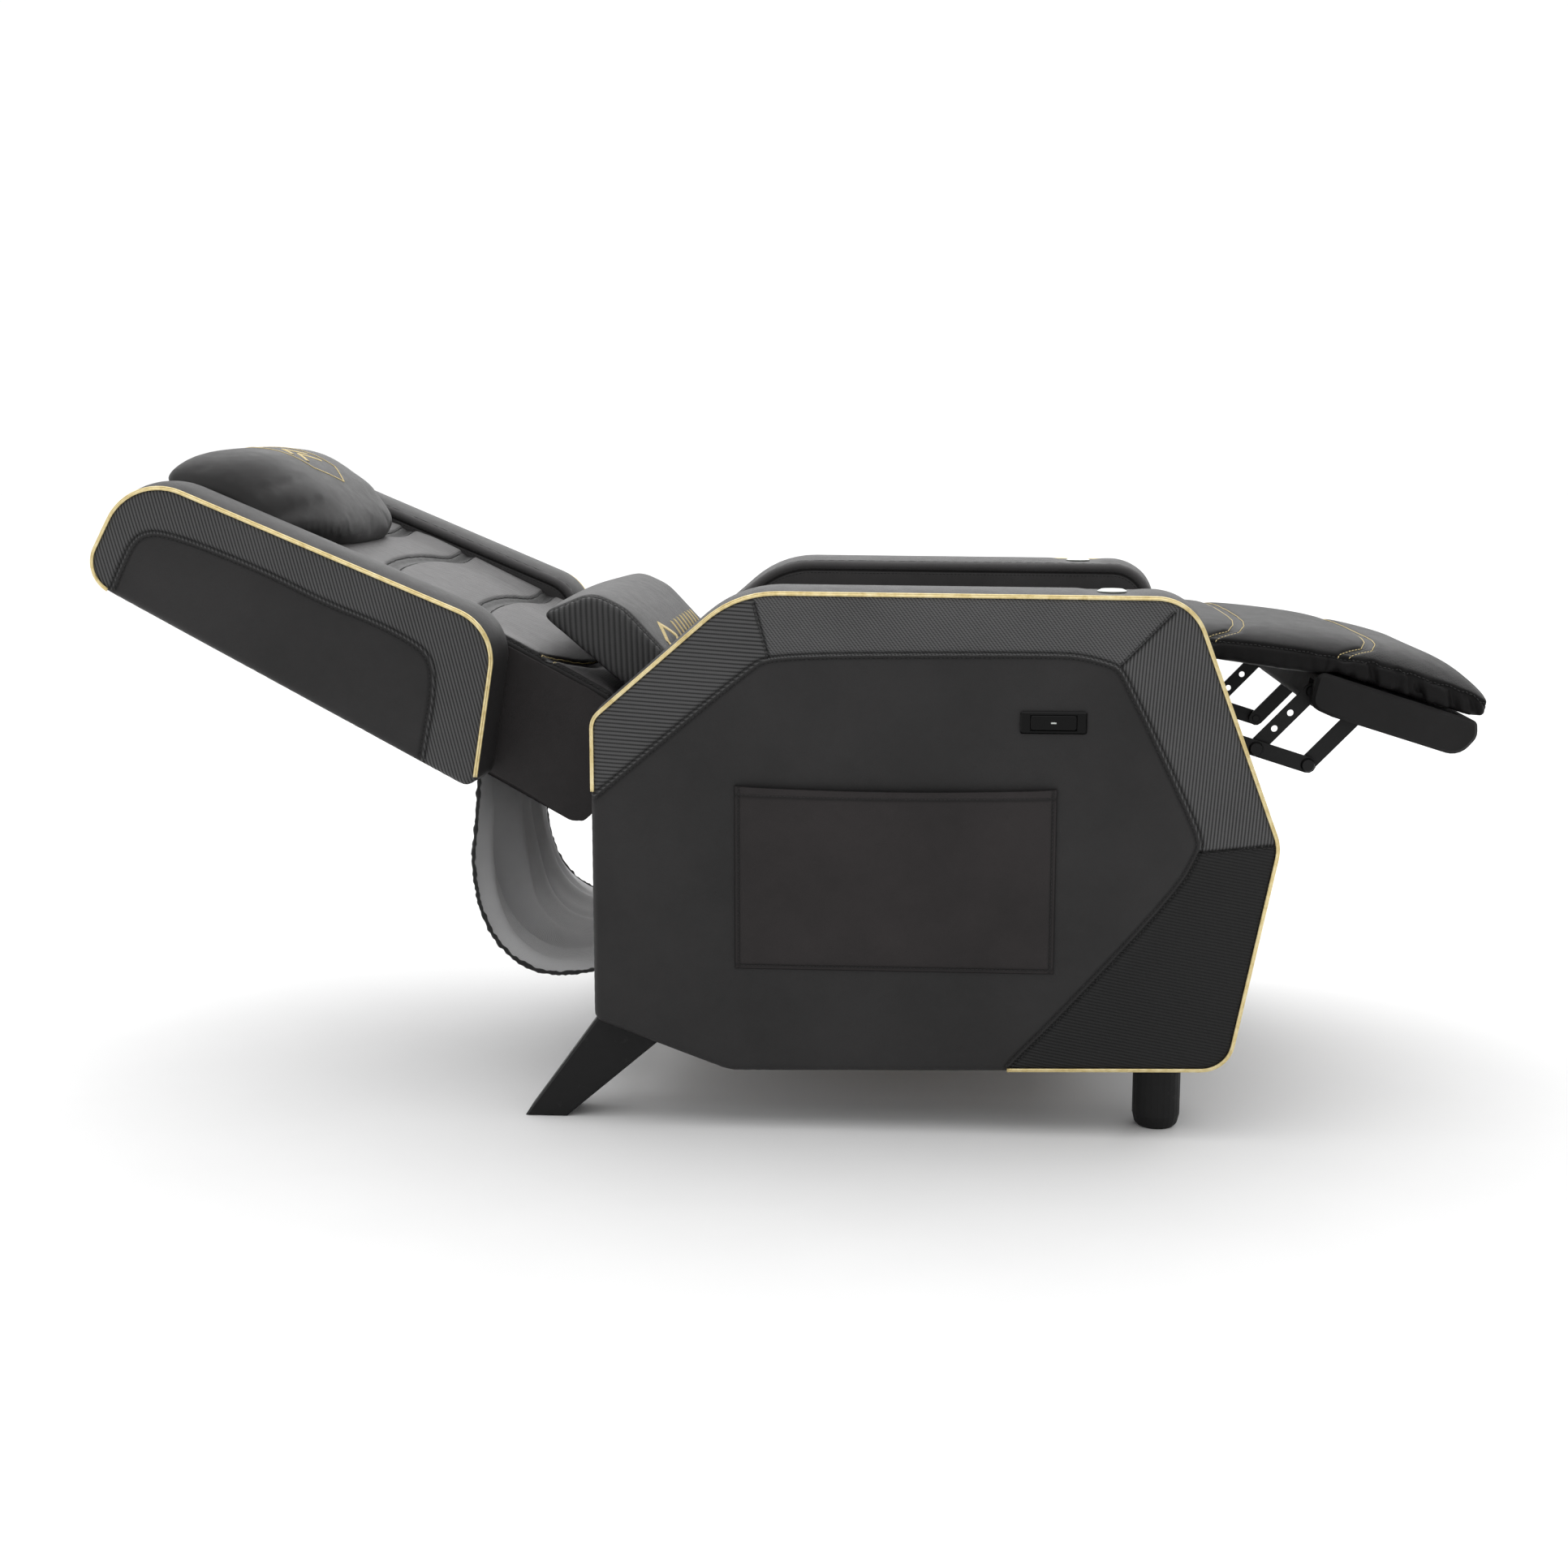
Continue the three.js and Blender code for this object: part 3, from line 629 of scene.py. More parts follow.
def leather(name, tone=0.016, rough=0.5, size=1.3, strength=0.42, warm=1.04, dots=None, shine=0.30):
    """Fine-grained black imitation leather. dots = (one way, other way, pitch) adds perforations."""
    g = Graph(name)
    pebbles, normal = grain(g, size, strength)
    cloud = g.noise(7.0, 4.0, 0.6)
    dark = (tone * 0.80 * warm, tone * 0.79, tone * 0.80)
    light = (tone * 1.28 * warm, tone * 1.26, tone * 1.28)
    colour = g.mix(g.grey(cloud, 0, 1, 0.3, 0.7), dark, light)
    crease = g.grey(pebbles, 0.72, 1.0, 0.0, 0.12)
    colour = g.mix(crease, (tone * 0.35,) * 3, colour)
    if dots:
        first, second, pitch = dots
        holes = g.math("MULTIPLY", g.waves(first, pitch), g.waves(second, pitch))
        hole = g.node("ShaderNodeMapRange", props={"interpolation_type": "SMOOTHSTEP"},
                      i0=holes, i1=0.50, i2=0.72, i3=0.0, i4=1.0)
        colour = g.mix(hole, colour, (0.003, 0.003, 0.003))
        normal = g.bump(g.math("SUBTRACT", 1.0, hole), 0.7, 0.6, normal)
    return g.done(g.seam_shaded(colour), normal, g.grey(g.noise(60.0, 3.0), rough - 0.06, rough + 0.07),
                  Specular_IOR_Level=shine)


def ribbed(name, rib, thread, pitch, tone=0.078, twill=None, low=0.14):
    """Vinyl with woven-looking ribs: rib is the way across them, thread the way of the fine lines."""
    g = Graph(name)
    ribs = g.waves(rib, pitch)
    if twill:
        height = g.math("MULTIPLY_ADD", g.waves(twill, 2.1), 0.5, g.math("MULTIPLY", ribs, 0.6))
    else:
        height = g.math("MULTIPLY_ADD", g.waves(thread, 1.5), 0.16, ribs)
    cloud = g.grey(g.noise(9.0, 3.0), 0.85, 1.15, 0.3, 0.7)
    # darker in the grooves and lighter on the crests: painted shade and painted highlight that follow the
    # ribs, low being how dark the grooves are painted
    shade = g.math("MULTIPLY", g.grey(height, low, 1.2), cloud)
    colour = g.mix(shade, (0.0, 0.0, 0.0), (tone, tone, tone * 1.01))
    coarse = g.bump(g.noise(34.0, 2.0), 0.08, 3.0)
    normal = g.bump(height, 0.9, 0.9, coarse)
    return g.done(g.seam_shaded(colour), normal, g.grey(height, 0.66, 0.38), Specular_IOR_Level=0.26)


def gold_cord(name):
    """Metallic gold welt covering, with slight creases and wear."""
    g = Graph(name)
    creases = g.noise(700.0, 3.0)
    wear = g.noise(90.0, 4.0, 0.65)
    colour = g.ramp(wear, [(0.25, (0.55, 0.42, 0.17)), (0.5, (0.74, 0.61, 0.31)), (0.8, (0.88, 0.78, 0.50))])
    return g.done(colour, g.bump(creases, 0.25, 0.15), g.grey(wear, 0.30, 0.44), Metallic=0.62)


def thread_material(name, dark, light, rough=0.6, metal=0.0):
    """Twisted sewing thread."""
    g = Graph(name)
    twist = g.waves((0.6, 0.5, 0.62), 0.9)
    colour = g.mix(twist, dark, light)
    return g.done(colour, g.bump(twist, 0.5, 0.15), g.grey(twist, rough + 0.1, rough - 0.08),
                  Metallic=metal)


def painted_metal(name, tone, rough, pits=420.0):
    """Powder coat or board paint: orange peel and a few rubbed places."""
    g = Graph(name)
    peel = g.noise(pits, 3.0)
    rubs = g.noise(38.0, 5.0, 0.7)
    rub = g.grey(rubs, 0.0, 1.0, 0.60, 0.78)
    colour = g.mix(rub, (tone, tone, tone * 1.03), (tone + 0.02,) * 3)
    return g.done(colour, g.bump(peel, 0.22, 0.3), g.grey(rubs, rough - 0.08, rough + 0.12),
                  Specular_IOR_Level=0.22)


def plywood(name):
    g = Graph(name)
    stretched = g.node("ShaderNodeMapping", Vector=g.place, Scale=(4.0, 60.0, 60.0))
    rings = g.noise(6.0, 6.0, 0.65, stretched)
    fibre = g.noise(40.0, 4.0, 0.7, stretched)
    colour = g.ramp(rings, [(0.3, (0.30, 0.18, 0.09)), (0.5, (0.47, 0.31, 0.17)), (0.7, (0.58, 0.42, 0.26))])
    colour = g.mix(g.grey(fibre, 0.0, 0.45, 0.45, 0.75), colour, (0.24, 0.14, 0.07))
    return g.done(colour, g.bump(fibre, 0.3, 0.3), g.grey(fibre, 0.6, 0.8))


def woven(name, one, other, pitch, dark, light, patches=0.35, painted_shadow_above=None):
    """Plain weave. A (low, high, share) for the shadow above darkens it by share from height low to high, in
    metres: painted shadow on the upper part, which the back shades.
    """
    g = Graph(name)
    a, b = g.waves(one, pitch), g.waves(other, pitch)
    over = g.math("MULTIPLY", a, b)
    under = g.math("MULTIPLY", g.math("SUBTRACT", 1.0, a), g.math("SUBTRACT", 1.0, b))
    height = g.math("MAXIMUM", over, under)
    cloud = g.noise(14.0, 5.0, 0.65)
    colour = g.mix(g.grey(height, 0.15, 1.0), dark, light)
    colour = g.mix(g.grey(cloud, 0.0, patches, 0.45, 0.75), colour, tuple(0.6 * v for v in dark))
    # painted shadow: darker towards the top, where the back shades the cloth
    if painted_shadow_above:
        low, high, share = painted_shadow_above
        colour = g.mix(g.grey(g.across(Z_WAY), 0.0, share, low, high), colour, tuple(0.5 * v for v in dark))
    return g.done(colour, g.bump(height, 0.6, 0.3), g.grey(height, 0.95, 0.80),
                  Sheen_Weight=0.25, Sheen_Roughness=0.5)


def moulded(name, tone, rough):
    """Moulded plastic with a faint texture and fingerprints."""
    g = Graph(name)
    smear = g.noise(55.0, 4.0, 0.6)
    colour = g.mix(g.grey(smear, 0.0, 1.0, 0.35, 0.7), (tone * 0.8,) * 3, (tone * 1.3,) * 3)
    return g.done(colour, g.bump(g.noise(900.0, 2.0), 0.06, 0.2),
                  g.grey(smear, rough - 0.04, rough + 0.10), Specular_IOR_Level=0.12)


def satin_metal(name, tint, rough):
    g = Graph(name)
    brushed = g.noise(30.0, 4.0, 0.6, g.node("ShaderNodeMapping", Vector=g.place, Scale=(4.0, 60.0, 60.0)))
    colour = g.mix(brushed, tuple(0.82 * v for v in tint), tint)
    return g.done(colour, g.bump(brushed, 0.15, 0.1), g.grey(brushed, rough - 0.06, rough + 0.12),
                  Metallic=0.9)


def floor_material(name):
    g = Graph(name)
    speck = g.noise(5.0, 4.0)
    colour = g.mix(speck, (0.80, 0.80, 0.80), (0.84, 0.84, 0.84))
    return g.done(colour, g.bump(g.noise(180.0), 0.03, 0.4), g.grey(speck, 0.72, 0.82),
                  Specular_IOR_Level=0.2)


X_WAY, Y_WAY, Z_WAY = Vector((1, 0, 0)), Vector((0, 1, 0)), Vector((0, 0, 1))


def leaning(degrees):
    """The way in the chair's XZ plane at an angle above X."""
    a = math.radians(degrees)
    return CHAIR.way(math.cos(a), 0, math.sin(a))


LEATHER = leather("black_leather")
# A copy of the black leather nearly three times as light, for the faces that look to the seat: painted light
# where light from above catches them.
LEATHER_INNER_PAINTED_LIGHT = leather("inner_leather_painted_light", tone=0.044, rough=0.5, shine=0.36)
LEATHER_SOFT = leather("soft_leather", tone=0.015, rough=0.45, strength=0.26, size=1.1, shine=0.16)
LEATHER_SIDE = leather("boxing_leather", tone=0.020, rough=0.55, warm=1.12, shine=0.25)
# Its tone, over four times that of the seat's and footrest's perforated leather, is painted reflection: the
# sheen on the back cushion's front painted into its colour.
BACK_PERFORATED_PAINTED_REFLECTION = leather("perforated_back_painted_reflection", tone=0.060, rough=0.50, strength=0.25, shine=0.36,
                          dots=(BACK.way(0.0, 0.7071, 0.7071), BACK.way(0.0, 0.7071, -0.7071), 4.6))
FOOT_PERFORATED = leather("perforated_foot", tone=0.013, rough=0.46, strength=0.28, shine=0.12,
                          dots=(FOOT.way(0.7071, 0.7071, 0.0), FOOT.way(0.7071, -0.7071, 0.0), 4.6))
SEAT_PERFORATED = leather("perforated_seat", tone=0.013, rough=0.46, strength=0.25, shine=0.14,
                          dots=(SEAT.way(0.7071, 0.7071, 0.0), SEAT.way(0.7071, -0.7071, 0.0), 4.6))
RIB_REAR = ribbed("ribbed_rear", leaning(86), leaning(-4), 4.8)
RIB_TOP = ribbed("ribbed_top", leaning(38), leaning(-52), 3.4, tone=0.11, twill=leaning(96))
RIB_FRONT = ribbed("ribbed_front", leaning(-4), leaning(86), 3.9, tone=0.095)
RIB_LOW = ribbed("ribbed_low", leaning(80), leaning(-10), 3.8, tone=0.012, low=0.45)
RIB_WING = ribbed("ribbed_wing", leaning(14), leaning(-76), 4.0)
RIB_LUMBAR = ribbed("ribbed_lumbar", leaning(2), leaning(92), 7.0, tone=0.062, low=0.34)
RIB_CHANNEL = ribbed("ribbed_channel", Y_WAY, leaning(45), 4.2, tone=0.020)
LEATHER_LEG = leather("leg_leather", tone=0.008, rough=0.46, size=1.1, shine=0.10)
LEATHER_POCKET = leather("pocket_leather", tone=0.018, rough=0.55, warm=1.16, shine=0.25)
VINYL = leather("matte_vinyl", tone=0.009, rough=0.6, size=0.9, strength=0.2, shine=0.22)
GOLD = gold_cord("gold_welt")
BLACK_THREAD = thread_material("black_thread", (0.004, 0.004, 0.004), (0.016, 0.016, 0.016))
GOLD_THREAD = thread_material("gold_thread", (0.42, 0.31, 0.11), (0.82, 0.68, 0.36), 0.45, 0.3)
STEEL = painted_metal("black_steel", 0.007, 0.42)
LEG = painted_metal("leg_paint", 0.008, 0.55)
PLY = plywood("plywood_frame")
BOARD = painted_metal("black_board", 0.010, 0.72, pits=150.0)
GLOSS = moulded("gloss_plastic", 0.002, 0.14)
SWITCH = moulded("switch_plastic", 0.02, 0.4)
CAP = satin_metal("cap_metal", (0.62, 0.65, 0.62), 0.34)
# the cloth darkens towards its top: painted shadow under the back
CLOTH = woven("grey_cloth", Y_WAY, Z_WAY, 1.1, (0.38, 0.38, 0.385), (0.84, 0.84, 0.85),
              patches=0.15, painted_shadow_above=(0.18, 0.40, 0.62))
BINDING = woven("black_binding", X_WAY, Z_WAY, 1.0, (0.006, 0.006, 0.006), (0.02, 0.02, 0.02))
STRAPS = woven("elastic_strap", X_WAY, Y_WAY, 1.6, (0.05, 0.045, 0.04), (0.13, 0.12, 0.10))
FLOOR = floor_material("pale_floor")


# ---------------------------------------------------------------- camera, floor and lights
def make_camera():
    data = bpy.data.cameras.new("camera")
    data.lens = 48.02
    data.sensor_width = 36.0
    data.clip_end = 200.0
    camera = bpy.data.objects.new("camera", data)
    camera.location = (0.186, -2.826, 0.833)
    right = Vector((0.99711, 0.07597, 0.0)).normalized()
    ahead = Vector((-0.07495, 0.98376, -0.16310)).normalized()
    up = right.cross(ahead)
    turn = Matrix([list(row) for row in np.array([right, up, -ahead]).T])
    camera.rotation_euler = turn.to_euler()
    bpy.context.scene.collection.objects.link(camera)
    bpy.context.scene.camera = camera


def area_light(name, place, aim, size, watts):
    data = bpy.data.lights.new(name, "AREA")
    data.shape = "RECTANGLE"
    data.size, data.size_y = size
    data.energy = watts
    lamp = bpy.data.objects.new(name, data)
    lamp.location = place
    lamp.rotation_euler = (Vector(aim) - Vector(place)).to_track_quat("-Z", "Y").to_euler()
    bpy.context.scene.collection.objects.link(lamp)


def make_stage():
    count, radius = 64, 30.0
    ring = [(radius * math.cos(2 * math.pi * k / count), radius * math.sin(2 * math.pi * k / count), 0.0)
            for k in range(count)]
    floor = make_object("floor", ring, [tuple(range(count))], [FLOOR])
    make_world()
    sun = bpy.data.lights.new("ceiling", "SUN")
    sun.energy = 1.95
    sun.angle = math.radians(100)
    ceiling = bpy.data.objects.new("ceiling", sun)
    ceiling.rotation_euler = (math.radians(-14), 0, 0)
    bpy.context.scene.collection.objects.link(ceiling)
    area_light("back_light", (0.2, 3.4, 2.0), (0.0, 0.0, 0.4), (4.2, 1.6), 22)
    area_light("left_light", (-3.4, 0.6, 1.9), (-0.3, 0.0, 0.5), (1.6, 1.4), 9)
    bpy.context.scene.view_settings.view_transform = "Standard"


def make_world():
    """A white room, darker on the side where the camera stands."""
    world = bpy.data.worlds.new("studio")
    world.use_nodes = True
    nodes, links = world.node_tree.nodes, world.node_tree.links
    background = nodes["Background"]
    background.inputs[0].default_value = (1.0, 1.0, 1.0, 1)
    way = nodes.new("ShaderNodeSeparateXYZ")
    links.new(nodes.new("ShaderNodeTexCoord").outputs["Generated"], way.inputs[0])
    shade = nodes.new("ShaderNodeMapRange")
    links.new(way.outputs["Y"], shade.inputs[0])
    for socket, value in zip(list(shade.inputs)[1:5], (-0.3, 0.35, 0.66, 1.02)):
        socket.default_value = value
    links.new(shade.outputs[0], background.inputs[1])
    bpy.context.scene.world = world


make_camera()
make_stage()

# ---------------------------------------------------------------- arms
ARM = rounded([
    (-243, 656, 130), (288, 652, 62), (398, 360, 50), (346, 86, 40),
    (-253, 73, 60), (-418, 134, 15), (-418, 504, 26)])
# gold piping: from high on the rear edge, over the top and front, to the middle of the bottom
ARM_WELT_START = (-418, 416)
ARM_WELT_END = (83, 80.3)
ARM_SEAM = smooth_line([
    (-414, 410), (-409, 414), (-225, 568), (-204, 577), (-150, 580.5), (-78, 582), (138, 584),
    (165, 581), (188, 575), (205, 569), (216, 549), (247, 489), (296, 387), (304, 365), (303, 353),
    (278, 304), (147, 153), (90, 93), (83, 83)])
CORNER_REAR = [(-221, 643), (-204, 579)]
CORNER_TOP = [(266, 633), (207, 571)]
CORNER_FRONT = [(305, 353), (392, 363)]
POCKET_X, POCKET_Z = (-245, 136), (203, 426)
BUTTON = (130, 505)
CAP_X = 199
PANEL_EDGE = 10         # radius of the arms' and wings' rounded edges
WELT_LIFT = 1.6         # how far the piping's middle stands off such an edge


def arm_zone(points):
    """0 plain leather, then the four ribbed parts: rear, top, front, low."""
    middle = np.vstack([ARM_SEAM, [(83, 40), (-460, 40), (-460, 410)]])
    zones = np.where(inside(points, middle), 0, 3)
    x, z = points[:, 0], points[:, 1]
    ribbed_part = zones == 3
    rear = x < np.interp(z, [577, 636], [-204, -221])
    top = ~rear & ((z - 569) * (261 - 205) - (x - 205) * (628 - 569) > 0) & (z > 500)
    low = ~rear & ~top & (z < 353 + (x - 304) * 0.103)
    zones[ribbed_part & rear] = 1
    zones[ribbed_part & top] = 2
    zones[ribbed_part & low] = 4
    return zones


def arm_crown(points, normals):
    """The top and front of an arm are fuller than its underside, and dip round the cap on its top."""
    dip = 1 - np.exp(-((points[:, 0] - CAP_X) / 30) ** 4) * (normals[:, 1] > 0.5)
    return (4.0 * np.clip(normals[:, 1] * 1.3 + 0.15, 0, 1) + 2.0 * np.clip(normals[:, 0], 0, 1)) * dip


def open_run(outline, start, end, keep):
    """The part of a closed outline from start to end that keep() picks, in order."""
    picked = np.array([p for p in outline if keep(p)])
    return np.vstack([[start], picked, [end]])


def welt(name, put, run, face, side, body, node, way):
    """Doubled gold piping on the rounded edge between a face and the band round it."""
    line2d = resample(run, 4.0)
    n = way(line2d)
    inset = PANEL_EDGE - (PANEL_EDGE + WELT_LIFT) / math.sqrt(2)
    line = put(line2d - n * inset, np.full(len(line2d), side * (face - inset)))
    out = put(line2d + n, np.full(len(line2d), 0.0)) - put(line2d, np.full(len(line2d), 0.0))
    out /= np.linalg.norm(out, axis=1, keepdims=True)
    up = (out + np.array([0, side, 0])) / math.sqrt(2)
    obj = sweep(name, line, up, twin_bead(), [GOLD])
    finish_piece(obj, body, "gold_piping", [node])


def chair_put(points, level):
    return CHAIR.put(points[:, 0], level, points[:, 1])


def back_put(points, level):
    return BACK.put(points[:, 0], level, points[:, 1])


ARM_PIPED = open_run(
    ARM, ARM_WELT_START, ARM_WELT_END,
    lambda p: (p[0] < -300 and p[1] > 430) or p[0] > 90 or (p[0] > -300 and p[1] > 300))


def order_run(run):
    """Puts a piped run's points in the order in which they follow each other."""
    left = [tuple(p) for p in run[1:-1]]
    line = [tuple(run[0])]
    while left:
        here = line[-1]
        nearest = min(left, key=lambda p: (p[0] - here[0]) ** 2 + (p[1] - here[1]) ** 2)
        left.remove(nearest)
        line.append(nearest)
    return np.array(line + [tuple(run[-1])])


ARM_PIPED = order_run(ARM_PIPED)
ARM_SHADED = resample(ARM, 4.0, closed=True)


def outline_normals(outline):
    """A function that gives the outline's outward normal nearest to each point."""
    n = outward(outline)

    def at(points):
        index = [int(np.argmin(np.sum((outline - p) ** 2, axis=1))) for p in points]
        return n[index]
    return at


black_thread = {body: Thread() for body in ("base", "back", "seat")}
gold_thread = {body: Thread() for body in ("back", "seat")}


def sew_panel(thread, piece, put, seam, side, gaps, radius=0.5):
    """Runs lines of stitches beside a seam on a panel's outer face."""
    surface = Surface(piece)
    for gap in gaps:
        line = resample(seam.beside(gap), 2.5)
        start = put(line, np.full(len(line), side * 450.0))
        hits, ups = surface.drop(start, (0, -side, 0), reach=0.0)
        if len(hits) > 3:
            thread.sew(hits, ups, pitch=5.4, radius=radius)


def inner_seam(outline, inset, keep):
    """The sewn line near the edge of the face that looks to the seat, where keep(points) wants it."""
    line = resample(outline, 5.0, closed=True)
    line = line - outward(line) * inset
    line = line[keep(line)]
    gaps = np.linalg.norm(np.diff(np.vstack([line, line[:1]]), axis=0), axis=1)
    line = np.roll(line, -(int(np.argmax(gaps)) + 1), 0)
    return Seam(line, cut=1.2, width=1.4, sink=1.0, reach=8)


def make_arm(name, side):
    main = Seam(ARM_SEAM, cut=2.2, width=1.4, sink=2.8, reach=12, double=3.4)
    corners = [Seam(c, cut=2.0, width=1.3, sink=1.4, reach=8)
               for c in (CORNER_REAR, CORNER_TOP, CORNER_FRONT)]
    outer = {"seams": [main, *corners], "zone": arm_zone, "step": 9.0}
    rim = inner_seam(ARM, 15, lambda p: p[:, 1] > 330)
    # the face towards the seat takes the lighter leather with painted light
    inner = {"seams": [rim], "zone": lambda c: np.full(len(c), 5), "step": 14.0}
    materials = [LEATHER, RIB_REAR, RIB_TOP, RIB_FRONT, RIB_LOW, LEATHER_INNER_PAINTED_LIGHT]
    arm = upholster_side(f"arm_cover_{name}", chair_put, ARM, side, (ARM_INNER, ARM_OUTER), materials,
                         outer, inner, edge=PANEL_EDGE, crown=arm_crown, columns=16)
    finish_piece(arm, "base", "leather", [f"arm_{name}"])
    thread = black_thread["base"]
    sew_panel(thread, arm, chair_put, main, side, (-3.4, 3.4), radius=0.8)
    for corner in corners:
        sew_panel(thread, arm, chair_put, corner, side, (3.0,), radius=0.6)
    sew_panel(thread, arm, chair_put, rim, -side, (-3.0, 3.0))
    welt(f"arm_welt_{name}", chair_put, ARM_PIPED, ARM_OUTER, side, "base", f"arm_piping_{name}",
         outline_normals(ARM_SHADED))


for side_name, side_way in SIDES.items():
    make_arm(side_name, side_way)

# ---------------------------------------------------------------- wings beside the back
WING = rounded([(-3, 102, 15), (190, 170, 64), (140, 648, 74), (-6, 647, 40)])
WING_PIPED = open_run(WING, (14, 108), (-5.5, 610), lambda p: p[0] > 20 or p[1] > 612)
WING_SHADED = resample(WING, 4.0, closed=True)


def chair_to_back(points):
    """Design-frame (x, z) to the back's (depth, height)."""
    p = np.asarray(points, float)
    a, _, b = BACK.own(CHAIR.put(p[:, 0], 0.0, p[:, 1]))
    return np.stack([a, b], -1)


WING_SEAM = smooth_line(chair_to_back([
    (-1006, 652), (-992, 682), (-977, 710), (-960, 720), (-937, 719), (-888, 703), (-812, 672), (-745, 638),
    (-681, 613), (-644, 594), (-621, 578), (-613, 557), (-616, 519), (-624, 481), (-633, 436)]))


def wing_zone(points):
    """0 plain leather inside the sewn line, 1 ribbed outside it."""
    first, last = WING_SEAM[0], WING_SEAM[-1]
    middle = np.vstack([WING_SEAM, [(-60, last[1] - 20), (-60, first[1] + 20)]])
    return np.where(inside(points, middle), 0, 1)


def wing_crown(points, normals):
    return 6.0 * np.clip(normals[:, 0] * 1.2 + np.abs(normals[:, 1]) * 0.6, 0, 1)


def make_wing(name, side):
    seam = Seam(WING_SEAM, cut=2.2, width=1.4, sink=3.4, reach=14, double=3.4)
    rim = inner_seam(WING, 14, lambda p: p[:, 0] > 15)
    outer = {"seams": [seam], "zone": wing_zone, "bulge": 1.5, "soft": 60, "step": 9.0}
    # the face towards the seat takes the lighter leather with painted light
    inner = {"seams": [rim], "zone": lambda c: np.full(len(c), 2), "step": 12.0}
    wing = upholster_side(f"wing_cover_{name}", back_put, WING, side, (WING_INNER, WING_OUTER),
                          [LEATHER, RIB_WING, LEATHER_INNER_PAINTED_LIGHT], outer, inner, edge=PANEL_EDGE, crown=wing_crown)
    finish_piece(wing, "back", "ribbed_vinyl", [f"wing_{name}"])
    sew_panel(black_thread["back"], wing, back_put, seam, side, (-3.4, 3.4), radius=0.8)
    sew_panel(black_thread["back"], wing, back_put, rim, -side, (-2.6, 2.6))
    welt(f"wing_welt_{name}", back_put, order_run(WING_PIPED), WING_OUTER, side, "back",
         f"wing_piping_{name}", outline_normals(WING_SHADED))


for side_name, side_way in SIDES.items():
    make_wing(side_name, side_way)


# ---------------------------------------------------------------- stuffed pieces
def snap(surface, lines):
    """Lines of points in metres moved onto a surface."""
    return [surface.nearest(resample(line, 3 * MM))[0] for line in lines]


def seam_distance(points, lines):
    """How far each point is from the nearest of several lines, in millimetres."""
    tree = kdtree.KDTree(sum(len(resample(line, 0.8 * MM)) for line in lines))
    index = 0
    for line in lines:
        for p in resample(line, 0.8 * MM):
            tree.insert(p, index)
            index += 1
    tree.balance()
    return np.array([tree.find(p)[2] for p in points]) / MM


def relax(obj, rounds):
    """Evens out a mesh by moving each point halfway to its neighbours' middle."""
    mesh = obj.data
    edges = np.empty(len(mesh.edges) * 2, np.int32)
    mesh.edges.foreach_get("vertices", edges)
    a, b = edges[0::2], edges[1::2]
    co = coordinates(obj)
    count = np.bincount(a, minlength=len(co)) + np.bincount(b, minlength=len(co))
    for _ in range(rounds):
        total = np.zeros_like(co)
        for k in range(3):
            total[:, k] = np.bincount(a, co[b, k], len(co)) + np.bincount(b, co[a, k], len(co))
        co += (total / np.maximum(count, 1)[:, None] - co) * 0.5
    set_coordinates(obj, co)


STIFFNESS = 12.0        # of the stuffed covers as cloth
CLOTH_FRAMES = 20


def inflate(obj, held, cap, pressure):
    """Blows a piece up as cloth, then moves each point by no more than cap millimetres."""
    scene = bpy.context.scene
    before = coordinates(obj)
    group = obj.vertex_groups.new(name="held")
    for i in np.nonzero(held > 0.02)[0]:
        group.add([int(i)], float(held[i]), "REPLACE")
    cloth = obj.modifiers.new("cloth", "CLOTH")
    settings = cloth.settings
    settings.quality = 5
    settings.mass = 0.3
    settings.tension_stiffness = STIFFNESS
    settings.compression_stiffness = STIFFNESS
    settings.shear_stiffness = STIFFNESS * 0.5
    settings.bending_stiffness = 0.6
    settings.use_pressure = True
    settings.uniform_pressure_force = pressure
    settings.effector_weights.gravity = 0.0
    settings.vertex_group_mass = "held"
    settings.pin_stiffness = 1.0
    cloth.collision_settings.use_collision = False
    cloth.collision_settings.use_self_collision = False
    cloth.point_cache.frame_start = 1
    cloth.point_cache.frame_end = CLOTH_FRAMES
    for f in range(1, CLOTH_FRAMES + 1):
        scene.frame_set(f)
    bake_modifiers(obj)
    scene.frame_set(1)
    after = coordinates(obj)
    move = after - before
    length = np.linalg.norm(move, axis=1, keepdims=True)
    limit = cap * MM
    squeezed = limit * np.tanh(length / limit)
    set_coordinates(obj, before + move * squeezed / np.maximum(length, 1e-9))


def stuff(obj, lines, firm, voxel, hollow, reach, cap, pressure):
    """Makes a cushion of a closed form.

    It is remeshed, drawn in along its seams, blown up between them and subdivided.
    firm(points) gives 0 to 1 where the piece rests on something or is held flat.
    """
    remesh = obj.modifiers.new("remesh", "REMESH")
    remesh.mode = "VOXEL"
    remesh.voxel_size = voxel * MM
    bake_modifiers(obj)
    relax(obj, 3)
    co, no = coordinates(obj), vertex_normals(obj)
    far = seam_distance(co, lines)
    flat = firm(co)
    sunk = np.exp(-(far / reach)) * (1 - flat)
    set_coordinates(obj, co - no * (sunk * hollow * MM)[:, None])
    held = np.clip(np.maximum(np.exp(-(far / 7.0) ** 2), flat), 0, 1)
    inflate(obj, held, cap, pressure)
    relax(obj, 2)
    subdivide = obj.modifiers.new("subdivide", "SUBSURF")
    subdivide.levels = subdivide.render_levels = 1
    bake_modifiers(obj)


